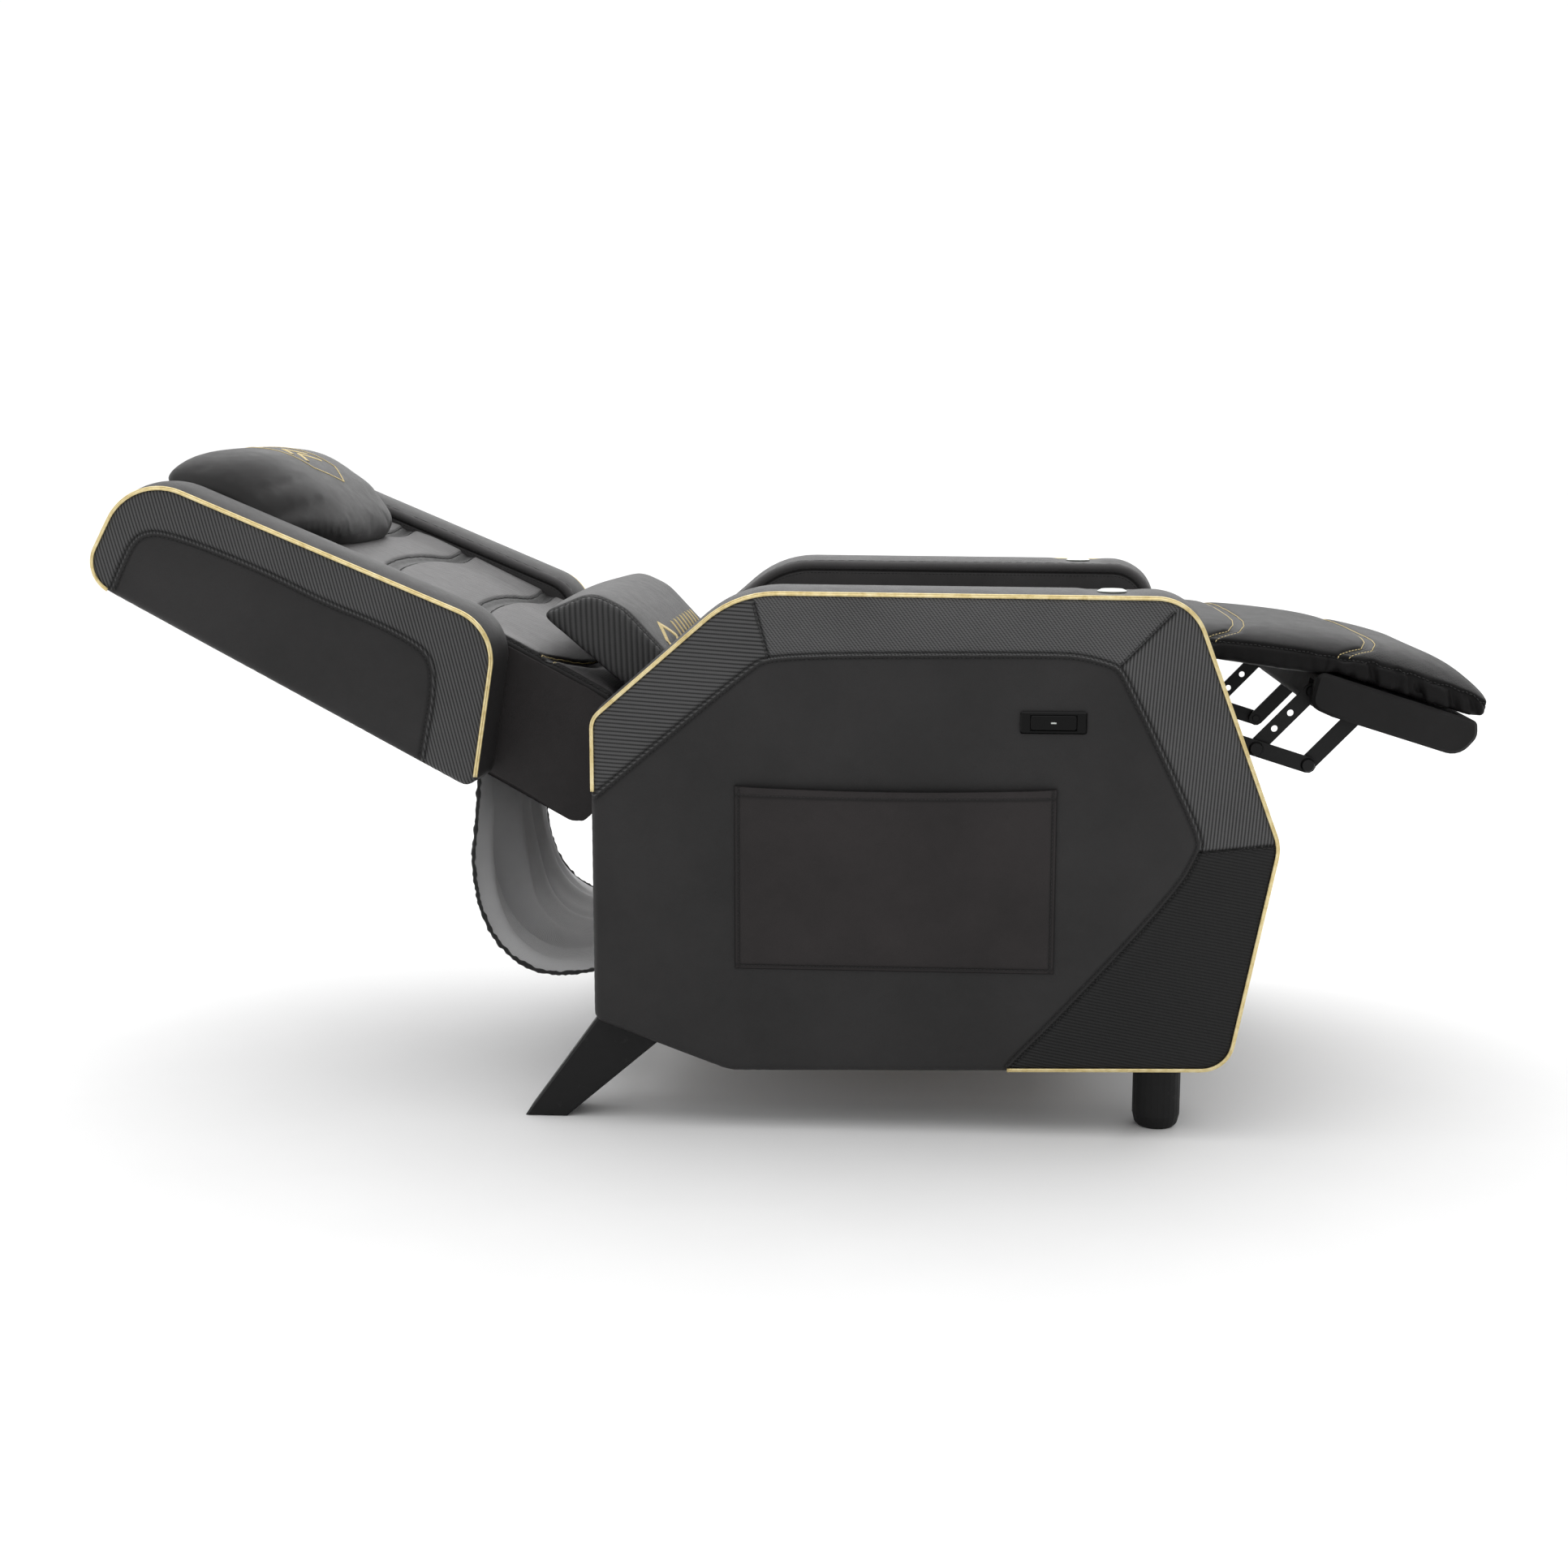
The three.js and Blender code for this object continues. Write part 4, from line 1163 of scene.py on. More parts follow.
def groove(obj, lines, cut, width):
    """Draws narrow sewn channels into a piece, marks painted shade along them, and returns the lines as they
    lie in them.
    """
    surface = Surface(obj)
    lines = snap(surface, lines)
    co, no = coordinates(obj), vertex_normals(obj)
    far = seam_distance(co, lines)
    drop = cut * np.exp(-(far / width) ** 2)
    set_coordinates(obj, co - no * (drop * MM)[:, None])
    mark_seam_shade(obj, np.exp(-(far / min(width, 3.0)) ** 2))
    return lines


def paint(obj, materials, zone):
    """Gives each face the material that zone(face centres) picks."""
    obj.data.materials.clear()
    for m in materials:
        obj.data.materials.append(m)
    obj.data.polygons.foreach_set("material_index", np.asarray(zone(face_centres(obj)), np.int32))
    obj.data.update()


def sew_on(thread, obj, lines, radius, pitch=5.4):
    """Stitches along lines laid on a piece."""
    surface = Surface(obj)
    for line in lines:
        hits, ups = surface.nearest(resample(smooth_line(line), 2.5 * MM))
        thread.sew(hits, ups, pitch=pitch, radius=radius)


def stepped(near, far, shoulder, half):
    """A line (y, u) from side to side that steps from near, at the sides, to far, in the middle."""
    ys = [-half, -shoulder[0], -shoulder[1], shoulder[1], shoulder[0], half]
    return resample(smooth_line(np.stack([ys, [near, near, far, far, near, near]], -1)), 4.0)


# ---------------------------------------------------------------- back
def back_front(u):
    """Depth of the back cushion's front face at a height along the back."""
    return np.interp(u, [0, 170, 400, 620], [160, 158, 146, 118])


# each seam's height at the sides and in the middle
BACK_STEPS = [(440, 464), (345, 372), (212, 240), (112, 66)]
BACK_SHOULDER = (185, 85)
BACK_SEAM_HALF = 240


def back_seam(near, far):
    """A stepped seam on the back cushion's front face."""
    line = stepped(near, far, BACK_SHOULDER, BACK_SEAM_HALF)
    return BACK.put(back_front(line[:, 1]), line[:, 0], line[:, 1])


def make_back_cushion():
    pad = rounded([
        (62, 4, 10), (160, 6, 20), (158, 170, 300), (146, 400, 300), (110, 612, 26), (62, 628, 12)])
    obj = upholster("back_cushion_cover", back_put, pad, -SEAT_HALF + 2, SEAT_HALF - 2, [LEATHER_SOFT],
                    {"step": 24}, {"step": 24}, columns=30, outline_step=12)
    v, y, u = BACK.own(coordinates(obj))
    raised = 11 * np.clip((np.abs(y) - 170) / 80, 0, 1) ** 1.5 * np.clip((v - 90) / 30, 0, 1)
    set_coordinates(obj, BACK.put(v + raised, y, u))
    seams = [back_seam(near, far) for near, far in BACK_STEPS]
    heights = np.linspace(12, 600, 60)
    rims = [BACK.put(back_front(heights) + 7, side * (SEAT_HALF - 3.0), heights) for side in (-1, 1)]

    def firm(co):
        v, y, _ = BACK.own(co)
        behind = np.clip((96 - v) / 22, 0, 1)
        sides = np.clip((np.abs(y) - 240) / 8, 0, 1) * np.clip((120 - v) / 20, 0.65, 1)
        return np.maximum(behind, sides)
    stuff(obj, seams + rims, firm, voxel=5.2, hollow=3, reach=12, cap=24, pressure=4.4)

    def shift(line, amount):
        v, y, u = BACK.own(line)
        return BACK.put(v, y, u + amount)
    channels = groove(obj, seams, cut=4.6, width=7.0)
    pairs = groove(obj, [shift(line, gap) for line in channels for gap in (-8, 8)], cut=2.4, width=2.8)
    rims = groove(obj, rims, cut=2.0, width=2.6)
    sew_on(black_thread["back"], obj, pairs[:-2], radius=0.7)
    sew_on(gold_thread["back"], obj, pairs[-2:], radius=0.7)
    sew_on(black_thread["back"], obj, rims, radius=0.6)

    def zone(c):
        v, y, u = BACK.own(c)
        holes = (v > 118 - 0.06 * u) & (np.abs(y) < 240)
        z = np.where(holes & (seam_distance(c, channels) > 8), 1, 0)
        z[(np.abs(y) > 243) & (v < back_front(u) - 6)] = 2
        return z
    # the perforated panels take the lighter leather with painted reflection
    paint(obj, [LEATHER_SOFT, BACK_PERFORATED_PAINTED_REFLECTION, LEATHER_SIDE], zone)
    finish_piece(obj, "back", "leather", ["back_cushion"])


make_back_cushion()


def make_boxing(name, side):
    """The smooth leather side of the back, sewn to the cushion's rim and to the rear cover."""
    outline = rounded([
        (-4, -30, 26), (150, -30, 40), (158, 40, 200), (156, 170, 300), (144, 400, 300), (108, 618, 24),
        (3, 626, 14), (2, 60, 300)])

    def waves(points):
        return np.array([0.7 * noise.noise(Vector((p[0] / 60, p[1] / 45, side * 2.0))) for p in points])
    obj = upholster_side(name, back_put, outline, side, (250.4, 253.6), [LEATHER_SIDE],
                         {"step": 12, "extra": waves}, {"step": 30}, edge=1.5, columns=2)
    finish_piece(obj, "back", "leather")


for side_name, side_way in SIDES.items():
    make_boxing(f"back_boxing_{side_name}", side_way)


def panel_put(points, level):
    """A panel that lies across the back: (y, height), with its level as depth."""
    p = np.asarray(points, float)
    return BACK.put(level, p[:, 0], p[:, 1])


def make_rear_panel():
    """Leather cover over the rear of the back: a wide panel, sewn down the sides."""
    outline = rounded([(-252, -26, 10), (252, -26, 10), (252, 630, 26), (-252, 630, 26)])
    lines = [Seam([(y, -20), (y, 624)], cut=1.3, width=1.6, sink=2.2, reach=16) for y in (-150, 150)]
    lines.append(Seam([(-246, 250), (246, 250)], cut=1.3, width=1.6, sink=2.2, reach=16))
    obj = upholster("rear_cover", panel_put, outline, 0.5, 24, [LEATHER],
                    {"seams": lines, "bulge": 1.5, "soft": 40, "step": 11}, {"step": 40}, edge=9,
                    columns=3, outline_step=7)
    finish_piece(obj, "back", "leather", ["back_rear_panel"])
    surface = Surface(obj)
    for line in lines:
        for gap in (-3.4, 3.4):
            points = resample(line.beside(gap), 3)
            hits, ups = surface.drop(panel_put(points, -60.0), BACK.way(1, 0, 0), reach=0)
            if len(hits) > 3:
                black_thread["back"].sew(hits, ups)


make_rear_panel()


def make_side_wrap():
    """The boxing goes on over the back's frame as a thin skin round its sides and ends."""
    path = rounded([(-251, -4, 14), (251, -4, 14), (251, 622, 20), (-251, 622, 20)])
    path = resample(path, 6, closed=True)
    n = outward(path)
    rows = [(23.5, 0.4), (30, 1.1), (44, 1.4), (58, 1.3), (66, 0.9), (70, 0.2)]
    rings = [panel_put(path + n * out, v) for v, out in rows]
    rings += [panel_put(path + n * (out - 2.2), v) for v, out in reversed(rows)]
    faces = ring_faces(len(rings), len(path), closed=True)
    obj = make_object("back_edge_band", np.vstack(rings), faces, [LEATHER_SIDE])
    weld(obj, 1e-6)
    finish_piece(obj, "back", "leather")


make_side_wrap()


# ---------------------------------------------------------------- pillows
HEAD_HALF = 231
HEAD_END = 226.0
HEAD_MIDDLE = 560       # height along the back


def narrowed(u, share):
    """Heights along the back drawn in towards the pillow's ends, most of all at its lower corners."""
    low = HEAD_MIDDLE + (u - HEAD_MIDDLE) * (1 - 0.46 * share ** 3.2)
    high = HEAD_MIDDLE + (u - HEAD_MIDDLE) * (1 - 0.10 * share ** 6)
    return np.where(u < HEAD_MIDDLE, low, high)


def head_base(u):
    """Depth of the face that the head pillow lies on."""
    return np.interp(u, [430, 660], [130, 116])


def make_head_pillow():
    """A soft pillow whose ends roll down between the wings."""
    outline = rounded([
        (128, 438, 14), (162, 424, 20), (194, 490, 90), (204, 580, 90), (160, 655, 36), (116, 660, 16)])
    obj = upholster("head_pillow_cover", back_put, outline, -HEAD_HALF, HEAD_HALF, [LEATHER_SOFT],
                    {"step": 18}, {"step": 18}, edge=24, columns=34, outline_step=9)
    v, y, u = BACK.own(coordinates(obj))
    base = head_base(u)
    share = np.abs(y / HEAD_HALF)
    v = base + (v - base) * (1 - 0.62 * share ** 4.5)
    set_coordinates(obj, BACK.put(v, y, narrowed(u, share)))
    loop = outline * 0.88 + np.array([128, HEAD_MIDDLE]) * 0.12
    heights = narrowed(loop[:, 1], HEAD_END / HEAD_HALF)
    ends = [BACK.put(loop[:, 0] * 0.5 + 62, side * HEAD_END, heights) for side in (-1, 1)]

    def firm(co):
        v, _, u = BACK.own(co)
        return np.clip((head_base(u) + 12 - v) / 12, 0, 1)
    stuff(obj, ends, firm, voxel=5.0, hollow=2.0, reach=14, cap=14, pressure=4.5)
    paint(obj, [LEATHER_SOFT], lambda c: np.zeros(len(c), int))
    finish_piece(obj, "back", "leather", ["head_pillow"])
    return obj


HEAD_PILLOW = make_head_pillow()


def make_lumbar_pillow():
    """A firm block with flat ribbed ends, a seam round each end."""
    outline = rounded([
        (176, 12, 16), (205, 152, 5), (262, 106, 30), (265, 60, 54), (234, -34, 22), (190, -22, 22)])
    obj = upholster("lumbar_pillow_cover", back_put, outline, -229, 229, [LEATHER_SOFT],
                    {"step": 16}, {"step": 16}, edge=7, columns=34, outline_step=8)
    ends = [BACK.put(outline[:, 0], side * 222.0, outline[:, 1]) for side in (-1, 1)]

    def firm(co):
        return np.clip((np.abs(BACK.own(co)[1]) - 219) / 5, 0, 0.8)
    stuff(obj, ends, firm, voxel=5.0, hollow=2.0, reach=9, cap=10, pressure=4.0)
    rims = groove(obj, ends, cut=1.8, width=2.2)
    inner = [BACK.put(outline[:, 0], side * 214.0, outline[:, 1]) for side in (-1, 1)]
    inner = groove(obj, inner, cut=1.8, width=2.6)
    sew_on(black_thread["back"], obj, inner, radius=0.6)
    sew_on(black_thread["back"], obj, rims, radius=0.5)
    paint(obj, [LEATHER_SOFT, RIB_LUMBAR], lambda c: np.where(np.abs(BACK.own(c)[1]) > 223.5, 1, 0))
    finish_piece(obj, "back", "leather", ["lumbar_pillow"])
    return obj


LUMBAR_PILLOW = make_lumbar_pillow()


# ---------------------------------------------------------------- seat, knee and footrest
def in_chair(place, pairs):
    """Pairs in a place's own frame as (x, z) pairs in the design frame."""
    p = np.array(pairs, float)
    x, _, z = CHAIR.own(place.put(p[:, 0], 0.0, p[:, 1]))
    return np.stack([x, z], -1)


def evenly(line, count):
    """The same line as a number of evenly spaced points."""
    lengths = np.r_[0, np.cumsum(np.linalg.norm(np.diff(line, axis=0), axis=1))]
    at = np.linspace(0, lengths[-1], count)
    return np.stack([np.interp(at, lengths, line[:, k]) for k in range(line.shape[1])], -1)


def pad_form(name, low, rim, top, half, material, count, power=7.0, rows=45):
    """A closed pad from three lines (x, z): its underside, the seam along its sides, and its crown."""
    low, rim, top = (evenly(line, count) for line in (low, rim, top))
    ys = np.linspace(-half, half, rows)
    share = (1 - np.abs(ys / half) ** power)[None, :, None]
    high = rim[:, None, :] + (top - rim)[:, None, :] * share
    deep = np.repeat(low[:, None, :], rows, axis=1)
    y = np.broadcast_to(ys, (count, rows))
    vertices = np.vstack([CHAIR.put(p[..., 0], y, p[..., 1]).reshape(-1, 3) for p in (high, deep)])
    obj = make_object(name, vertices, two_sheets(count, rows), [material])
    weld(obj)
    return obj


def laid(obj, line):
    """A line (x, y) seen from above, laid on a piece."""
    return Surface(obj).drop(CHAIR.put(line[:, 0], line[:, 1], 900.0), (0, 0, -1), reach=0)[0]


def gathers(obj, own, where, height, seed=3.0, pitch=15.0):
    """Puckers in a wall of leather below a seam. where(a, y, b) gives how strong they are, 0 to 1."""
    co, no = coordinates(obj), vertex_normals(obj)
    a, y, b = own(co)
    strength = where(a, y, b)
    ripple = np.zeros(len(co))
    for i in np.nonzero(strength > 0.01)[0]:
        lean = a[i] + 0.18 * b[i]
        ripple[i] = noise.noise(Vector((lean / pitch, b[i] / 55, seed))) \
            + 0.45 * noise.noise(Vector((lean / (pitch * 0.45), b[i] / 30, seed + 5)))
    ripple = np.minimum(ripple, 0.12)
    set_coordinates(obj, co + no * (ripple * strength * height * MM)[:, None])


SEAT_SHOULDER = (205, 150)
SEAT_STEPS = [(180, 210), (370, 400), (545, 575)]
LEG_SHOULDER = (243, 205)
LEG_STEPS = [(326, 377), (488, 539)]
LEG_HALF = SEAT_HALF - 3.5


def stitched_bands(obj, seams, gold):
    """Recesses each seam as a narrow band, and sews a gold line along each side of it."""
    bands = groove(obj, seams, cut=2.2, width=6.0)
    pairs = [line + np.array([gap * MM, 0, 0]) for line in bands for gap in (-6.5, 6.5)]
    pairs = groove(obj, pairs, cut=1.3, width=2.4)
    sew_on(gold, obj, pairs, radius=0.55)
    return bands


def make_seat_cushion():
    low = in_chair(SEAT, [(6, 6), (640, 6), (666, 24)])
    top = in_chair(SEAT, [
        (6, 42), (30, 54), (110, 68), (330, 90), (560, 82), (630, 72), (656, 63), (668, 50)])
    rim = in_chair(SEAT, [(6, 34), (110, 52), (330, 72), (560, 66), (630, 58), (668, 42)])
    obj = pad_form("seat_cushion_cover", low, rim, top, SEAT_HALF - 3, LEATHER_SOFT, count=90)
    seams = []
    for near, far in SEAT_STEPS:
        line = stepped(near, far, SEAT_SHOULDER, SEAT_HALF - 8)
        x = in_chair(SEAT, np.stack([line[:, 1], np.full(len(line), 80.0)], -1))[:, 0]
        seams.append(laid(obj, np.stack([x, line[:, 0]], -1)))
    rims = [CHAIR.put(rim[:, 0], side * (SEAT_HALF - 4.0), rim[:, 1]) for side in (-1, 1)]

    def firm(co):
        return np.clip((24 - SEAT.own(co)[2]) / 10, 0, 1)
    stuff(obj, seams + rims, firm, voxel=6.5, hollow=3, reach=14, cap=22, pressure=4.0)
    bands = stitched_bands(obj, seams, gold_thread["seat"])
    rims = groove(obj, rims, cut=1.6, width=3.0)
    sew_on(black_thread["seat"], obj, rims, radius=0.5, pitch=6.5)

    def zone(c):
        s, y, h = SEAT.own(c)
        z = np.where((np.abs(y) < 225) & (h > 40) & (s < 600) & (seam_distance(c, bands) > 7), 1, 0)
        z[(np.abs(y) > 238) & (h < np.interp(s, [6, 110, 330, 560, 668], [34, 52, 72, 66, 42]) - 1)] = 2
        return z
    paint(obj, [LEATHER_LEG, SEAT_PERFORATED, LEATHER_SIDE], zone)
    finish_piece(obj, "seat", "leather", ["seat_cushion"])


make_seat_cushion()


def make_leg_cover():
    """One cover over the knee pad and the footrest."""
    low = np.vstack([[(300, 571), (330, 566), (398, 556), (452, 549)],
                     in_chair(FOOT, [(-52, 32), (112, 31.5), (132, 34)])])
    top = smooth_line(np.vstack([[(300, 607), (320, 610), (371, 606), (440, 599)],
                                 in_chair(FOOT, [(-40, 79), (30, 83), (80, 82), (112, 77), (130, 69),
                                                 (140, 57)])]))
    rim = smooth_line(np.vstack([[(300, 588), (322, 591), (362, 588), (408, 583), (454, 575)],
                                 in_chair(FOOT, [(-16, 59), (60, 60), (119, 57), (138, 51)])]))
    obj = pad_form("leg_cover", low, rim, top, LEG_HALF, LEATHER_LEG, count=100, power=8.0, rows=61)
    seams = []
    for near, far in LEG_STEPS:
        line = stepped(near, far, LEG_SHOULDER, SEAT_HALF - 4)
        seams.append(laid(obj, line[:, ::-1]))
    edge = evenly(rim, 90)
    rims = [CHAIR.put(edge[:, 0], side * LEG_HALF, edge[:, 1]) for side in (-1, 1)]
    nose = np.linspace(-240, 240, 60)
    rims.append(CHAIR.put(edge[-1, 0], nose, edge[-1, 1]))

    def firm(co):
        x, _, z = CHAIR.own(co)
        floor = np.interp(x, low[:, 0], low[:, 1])
        return np.clip(np.maximum((floor + 8 - z) / 6, (306 - x) / 5), 0, 1)
    stuff(obj, seams + rims, firm, voxel=5.0, hollow=1.5, reach=10, cap=10, pressure=3.5)

    def wall(x, y, z):
        below = np.interp(x, rim[:, 0], rim[:, 1]) - z
        side = np.clip((np.abs(y) - 236) / 8, 0, 1) * np.clip((below + 1) / 5, 0, 1)
        return side * np.interp(x, [420, 475, 500], [0.1, 0.35, 1.0])
    gathers(obj, CHAIR.own, wall, height=11.0)

    def across_foot(co):
        s, y, h = FOOT.own(co)
        return y, s, h

    def toe(y, s, h):
        return np.clip((s - 126) / 10, 0, 1) * np.clip((54 - h) / 6, 0, 1)
    gathers(obj, across_foot, toe, height=6.0, seed=9.0)
    gold, black = Thread(), Thread()
    bands = stitched_bands(obj, seams, gold)
    rims = groove(obj, rims, cut=2.0, width=2.6)
    joints = [CHAIR.put([470, 466], side * (SEAT_HALF - 2.0), [572, 552]) for side in (-1, 1)]
    groove(obj, joints, cut=1.6, width=2.4)
    sew_on(black, obj, rims, radius=0.6)

    def zone(c):
        x, y, z = CHAIR.own(c)
        s = FOOT.own(c)[0]
        above = z > np.interp(x, rim[:, 0], rim[:, 1]) + 1
        middle = np.interp(np.abs(y), LEG_SHOULDER[::-1], LEG_STEPS[1][::-1])
        zones = np.where(above & (np.abs(y) < 240) & (x > middle + 8) & (s < 130), 1, 0)
        zones[above & (seam_distance(c, bands) < 5.5)] = 2
        return zones
    paint(obj, [LEATHER_LEG, FOOT_PERFORATED, RIB_CHANNEL], zone)
    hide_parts("knee_pad", "footrest_pad")
    extra = [gold.piece("leg_gold_stitches", GOLD_THREAD, None, "gold_piping"),
             black.piece("leg_black_stitches", BLACK_THREAD, None, "leather")]
    start, end = CHAIR.put(312, 0, 598), CHAIR.put(392, 0, 590)
    for piece in (obj, *extra):
        tuple(start)
        tuple(end)
        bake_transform(piece)


make_leg_cover()


# ---------------------------------------------------------------- dust cloth
CLOTH_PATH = [
    (-584, 416), (-590, 350), (-597, 300), (-588, 228), (-557, 177), (-508, 151), (-450, 157), (-412, 166)]
CLOTH_HALF = 245.0
# the middle, width and depth of each fold
CLOTH_FOLDS = [(-190, 20, 12), (-136, 24, -30), (-78, 20, 20), (-6, 22, 14), (46, 18, -18), (98, 24, 15),
               (160, 18, 11), (206, 14, -7)]


def make_dust_cloth():
    """A slack sheet from the back's rear edge to the rear rail, bound along its two free edges."""
    line = resample(smooth_line(CLOTH_PATH, 3), 9.0)
    n = normals_2d(line, closed=False)
    if n[len(n) // 2][0] < 0:
        n = -n
    ys = np.linspace(-CLOTH_HALF, CLOTH_HALF, 121)
    t2, y2 = np.meshgrid(np.linspace(0, 1, len(line)), ys, indexing="ij")
    hang = np.sin(math.pi * np.clip(t2, 0, 1)) ** 0.8
    pull = 20 * (1 - (np.abs(y2) / CLOTH_HALF) ** 2.2) * hang
    folds = np.zeros_like(y2)
    for centre, width, deep in CLOTH_FOLDS:
        drift = 26 * np.sin(2.4 * t2 + centre * 0.05)
        folds += deep * np.exp(-((y2 - centre - drift) / width) ** 2)
    push = pull + folds * hang ** 0.9 * (0.45 + 0.55 * np.sin(math.pi * (0.25 + 0.75 * t2)))
    x = line[:, 0][:, None] + n[:, 0][:, None] * push
    z = line[:, 1][:, None] + n[:, 1][:, None] * push
    vertices = CHAIR.put(x, y2, z).reshape(-1, 3)
    m = len(ys)
    faces = [(i * m + j, i * m + j + 1, (i + 1) * m + j + 1, (i + 1) * m + j)
             for i in range(len(line) - 1) for j in range(m - 1)]
    cloth = make_object("dust_cloth_sheet", vertices, faces, [CLOTH])
    grid = vertices.reshape(len(line), m, 3)
    angles = np.linspace(0, 2 * math.pi, 12, endpoint=False)
    section = [(3.6 * math.cos(a), 2.5 * math.sin(a)) for a in angles]
    edges = []
    for name, j in (("near", 0), ("far", m - 1)):
        edge = grid[:, j]
        up = np.cross(tangents(edge, False), np.array([0, 1.0, 0]))
        fine = resample(edge, 2.5 * MM)
        ups = np.stack([np.interp(np.linspace(0, 1, len(fine)), np.linspace(0, 1, len(edge)), up[:, i])
                        for i in range(3)], -1)
        binding = sweep(f"cloth_binding_{name}", fine, ups, section, [BINDING])
        co, no = coordinates(binding), vertex_normals(binding)
        pucker = np.array([noise.noise(Vector(p) * 160.0) for p in co])
        set_coordinates(binding, co + no * (pucker * 2.2 * MM)[:, None])
        edges.append(binding)
    solid = cloth.modifiers.new("thickness", "SOLIDIFY")
    solid.thickness = 1.2 * MM
    solid.offset = 0.0
    bake_modifiers(cloth)
    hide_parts("dust_cloth")
    start, end = CHAIR.put(-412, 0, 166), CHAIR.put(-584, 0, 416)
    for piece in (cloth, *edges):
        tuple(start)
        tuple(end)
        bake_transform(piece)


make_dust_cloth()


# ---------------------------------------------------------------- side pocket
HEM_LOW = POCKET_Z[1] - 11      # the hem's lower fold
POCKET_SEWN = 5                 # how far in from its edges the pocket is sewn
POCKET_SAG = 4.5


def make_pocket():
    """A leather panel sewn to the arm on three sides, with a folded hem along its open top."""
    xs = np.linspace(POCKET_X[0], POCKET_X[1], 191)
    zs = np.linspace(POCKET_Z[0], POCKET_Z[1], 113)
    x, z = np.meshgrid(xs, zs, indexing="ij")
    a = (x - POCKET_X[0]) / (POCKET_X[1] - POCKET_X[0])
    b = (z - POCKET_Z[0]) / (POCKET_Z[1] - POCKET_Z[0])
    side = np.minimum(x - POCKET_X[0], POCKET_X[1] - x)
    below = z - POCKET_Z[0]
    rise = (1 - np.exp(-side / 9)) * (1 - np.exp(-below / 10))
    belly = 5.0 * rise + 1.6 * rise * b ** 3 * np.sin(math.pi * a)
    sag = POCKET_SAG * np.sin(math.pi * a) ** 0.8 * b ** 8
    for i in range(len(xs)):
        for j in range(len(zs)):
            belly[i, j] += rise[i, j] * 0.7 * noise.noise(Vector((x[i, j] / 70, z[i, j] / 50, 1.7)))
    thick = 2.0 + 1.6 * np.clip((z - HEM_LOW) / 1.2, 0, 1)
    lip = -1.1 * np.exp(-((z - HEM_LOW) / 1.3) ** 2)
    sewn = np.maximum(np.exp(-((side - POCKET_SEWN) / 1.6) ** 2),
                      np.exp(-((below - POCKET_SEWN) / 1.6) ** 2))
    stitch_dip = 1.1 * sewn
    # painted shade along the stitch lines and the hem's fold, and a dark painted outline round the edges
    # where the panel meets the arm
    crease = np.maximum(sewn, np.exp(-((z - HEM_LOW) / 1.5) ** 2))
    crease[(side < 0.5) | (below < 0.5)] = 1.0
    front = ARM_OUTER + 0.8 + belly + thick + lip - stitch_dip
    back = ARM_OUTER + 0.6 + belly
    vertices = np.vstack([CHAIR.put(x, -y, z - sag).reshape(-1, 3) for y in (front, back)])
    obj = make_object("pocket_panel", vertices, two_sheets(*x.shape), [LEATHER_POCKET])
    mark_seam_shade(obj, np.r_[crease.ravel(), np.zeros(crease.size)])
    weld(obj, 1e-6)
    finish_piece(obj, "base", "leather", ["side_pocket"])
    left, right = POCKET_X[0] + POCKET_SEWN, POCKET_X[1] - POCKET_SEWN
    low, high = POCKET_Z[0] + POCKET_SEWN, POCKET_Z[1] - 3
    lines = [resample(line, 3.0) for line in (
        [(left, high), (left, low)], [(left, low), (right, low)], [(right, low), (right, high)])]
    hem_x = np.linspace(POCKET_X[0] + 4, POCKET_X[1] - 4, 120)
    share = (hem_x - POCKET_X[0]) / (POCKET_X[1] - POCKET_X[0])
    hem_z = POCKET_Z[1] - 9 - POCKET_SAG * np.sin(math.pi * share) ** 0.8 * 0.72
    lines.append(np.stack([hem_x, hem_z], -1))
    surface = Surface(obj)
    for line in lines:
        hits, ups = surface.drop(CHAIR.put(line[:, 0], -450.0, line[:, 1]), (0, 1, 0), reach=0)
        black_thread["base"].sew(hits, ups, pitch=4.6)


make_pocket()


# ---------------------------------------------------------------- embroidery and small marks
def satin(thread, surface, path, width, way, pitch=0.85):
    """Fills a line with short threads that lie across it, like satin stitch. path is in metres."""
    line = resample(path, pitch * MM)
    t = tangents(line, False)
    way = np.array(way)
    for p, along in zip(line, t):
        side = np.cross(way, along)
        side /= np.linalg.norm(side)
        ends = np.array([p + side * width * 0.5 * MM * k for k in (-1, -0.4, 0.4, 1)])
        hits, ups = surface.drop(ends, -way, reach=0.15)
        if len(hits) == 4:
            thread.sew(hits, ups, pitch=width * 1.02, share=0.98, radius=0.42, lift=0.25)


HEAD_LEVEL, LUMBAR_LEVEL = 205.0, 266.0     # depths just off the pillows' fronts


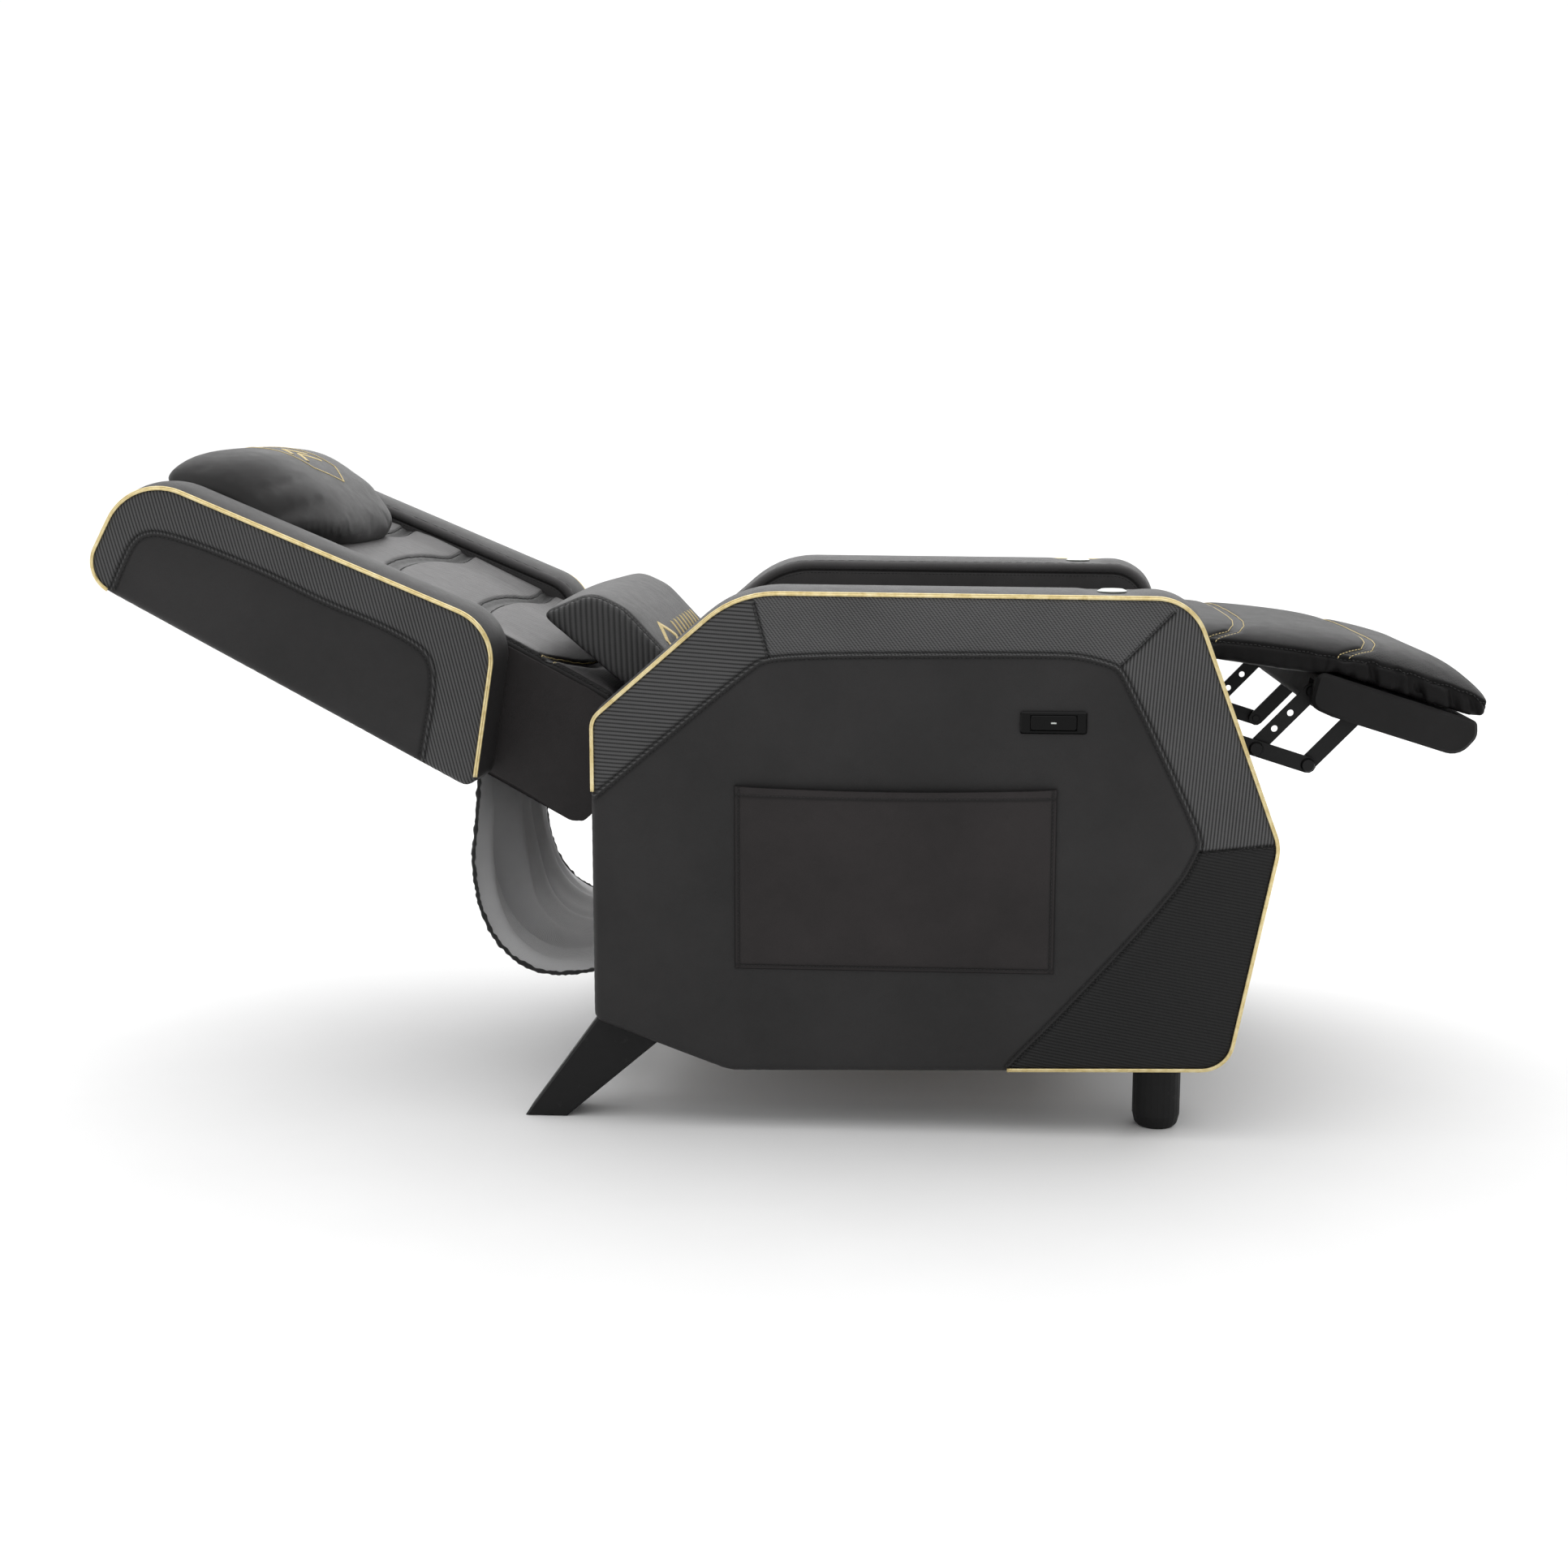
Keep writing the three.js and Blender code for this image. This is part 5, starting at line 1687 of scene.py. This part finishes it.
def make_emblems():
    """Plain geometric marks in gold thread, in the places where the chair is embroidered."""
    gold = gold_thread["back"]
    head, way = Surface(HEAD_PILLOW), tuple(BACK.way(1, 0, 0.12))
    hexagon = [(0, 500), (50, 532), (50, 612), (0, 650), (-50, 612), (-50, 532), (0, 500)]
    satin(gold, head, panel_put(resample(hexagon, 2), HEAD_LEVEL), 2.6, way, pitch=1.0)
    for lift in (0, 22):
        chevron = [(-30, 548 + lift), (0, 572 + lift), (30, 548 + lift)]
        satin(gold, head, panel_put(chevron, HEAD_LEVEL), 7.0, way)
    lumbar, way = Surface(LUMBAR_PILLOW), tuple(BACK.way(0.98, 0, 0.18))
    for k in range(8):
        y = -58 + k * 31
        satin(gold, lumbar, panel_put([(y, -20), (y + 11, 14)], LUMBAR_LEVEL), 14.0, way)
    rhombus = [(-170, -3), (-128, 20), (-86, -3), (-128, -26), (-170, -3)]
    satin(gold, lumbar, panel_put(resample(rhombus, 2), LUMBAR_LEVEL), 11.0, way)


make_emblems()


def make_button_mark():
    """A small raised bar in the middle of the button."""
    outline = rounded([(BUTTON[0] + x, BUTTON[1] + z, 0.4)
                       for x, z in ((-3.2, -0.9), (3.2, -0.9), (3.2, 0.9), (-3.2, 0.9))])
    vertices = np.vstack([chair_put(outline, np.full(len(outline), y)) for y in (-394.95, -395.35)])
    n = len(outline)
    faces = [tuple(range(n)), tuple(2 * n - 1 - k for k in range(n))]
    faces += [(k, k + n, (k + 1) % n + n, (k + 1) % n) for k in range(n)]
    obj = make_object("button_mark", vertices, faces, [CAP])
    weld(obj, 1e-7)
    finish_piece(obj, "button", "silver_cap")


make_button_mark()


# ---------------------------------------------------------------- kept CAD nodes
KEPT = [
    (STEEL, ("base_plate_", "back_pivot_pin_", "seat_pivot_pin_", "seat_plate_", "long_link",
             "link_cross_tube", "rear_link", "front_link", "footrest_bracket_", "back_bracket_")),
    (LEG, ("rear_leg_", "front_leg_")),
    (PLY, ("seat_frame", "back_frame")),
    (BOARD, ("front_rail", "rear_rail", "arm_board_")),
    (STRAPS, ("seat_webbing", "back_webbing")),
    (GLOSS, ("button_bezel", "release_button")),
    (SWITCH, ("release_switch",)),
    (CAP, ("arm_cap_",)),
    (VINYL, ("footrest_board",)),
]

for material, starts in KEPT:
    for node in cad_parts:
        if node.startswith(starts):
            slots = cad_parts[node].data.materials
            slots.clear()
            slots.append(material)

for colour, threads, material, slot in (("black", black_thread, BLACK_THREAD, "leather"),
                                        ("gold", gold_thread, GOLD_THREAD, "gold_piping")):
    for body, thread in threads.items():
        thread.piece(f"{colour}_stitches_{body}", material, body, slot)
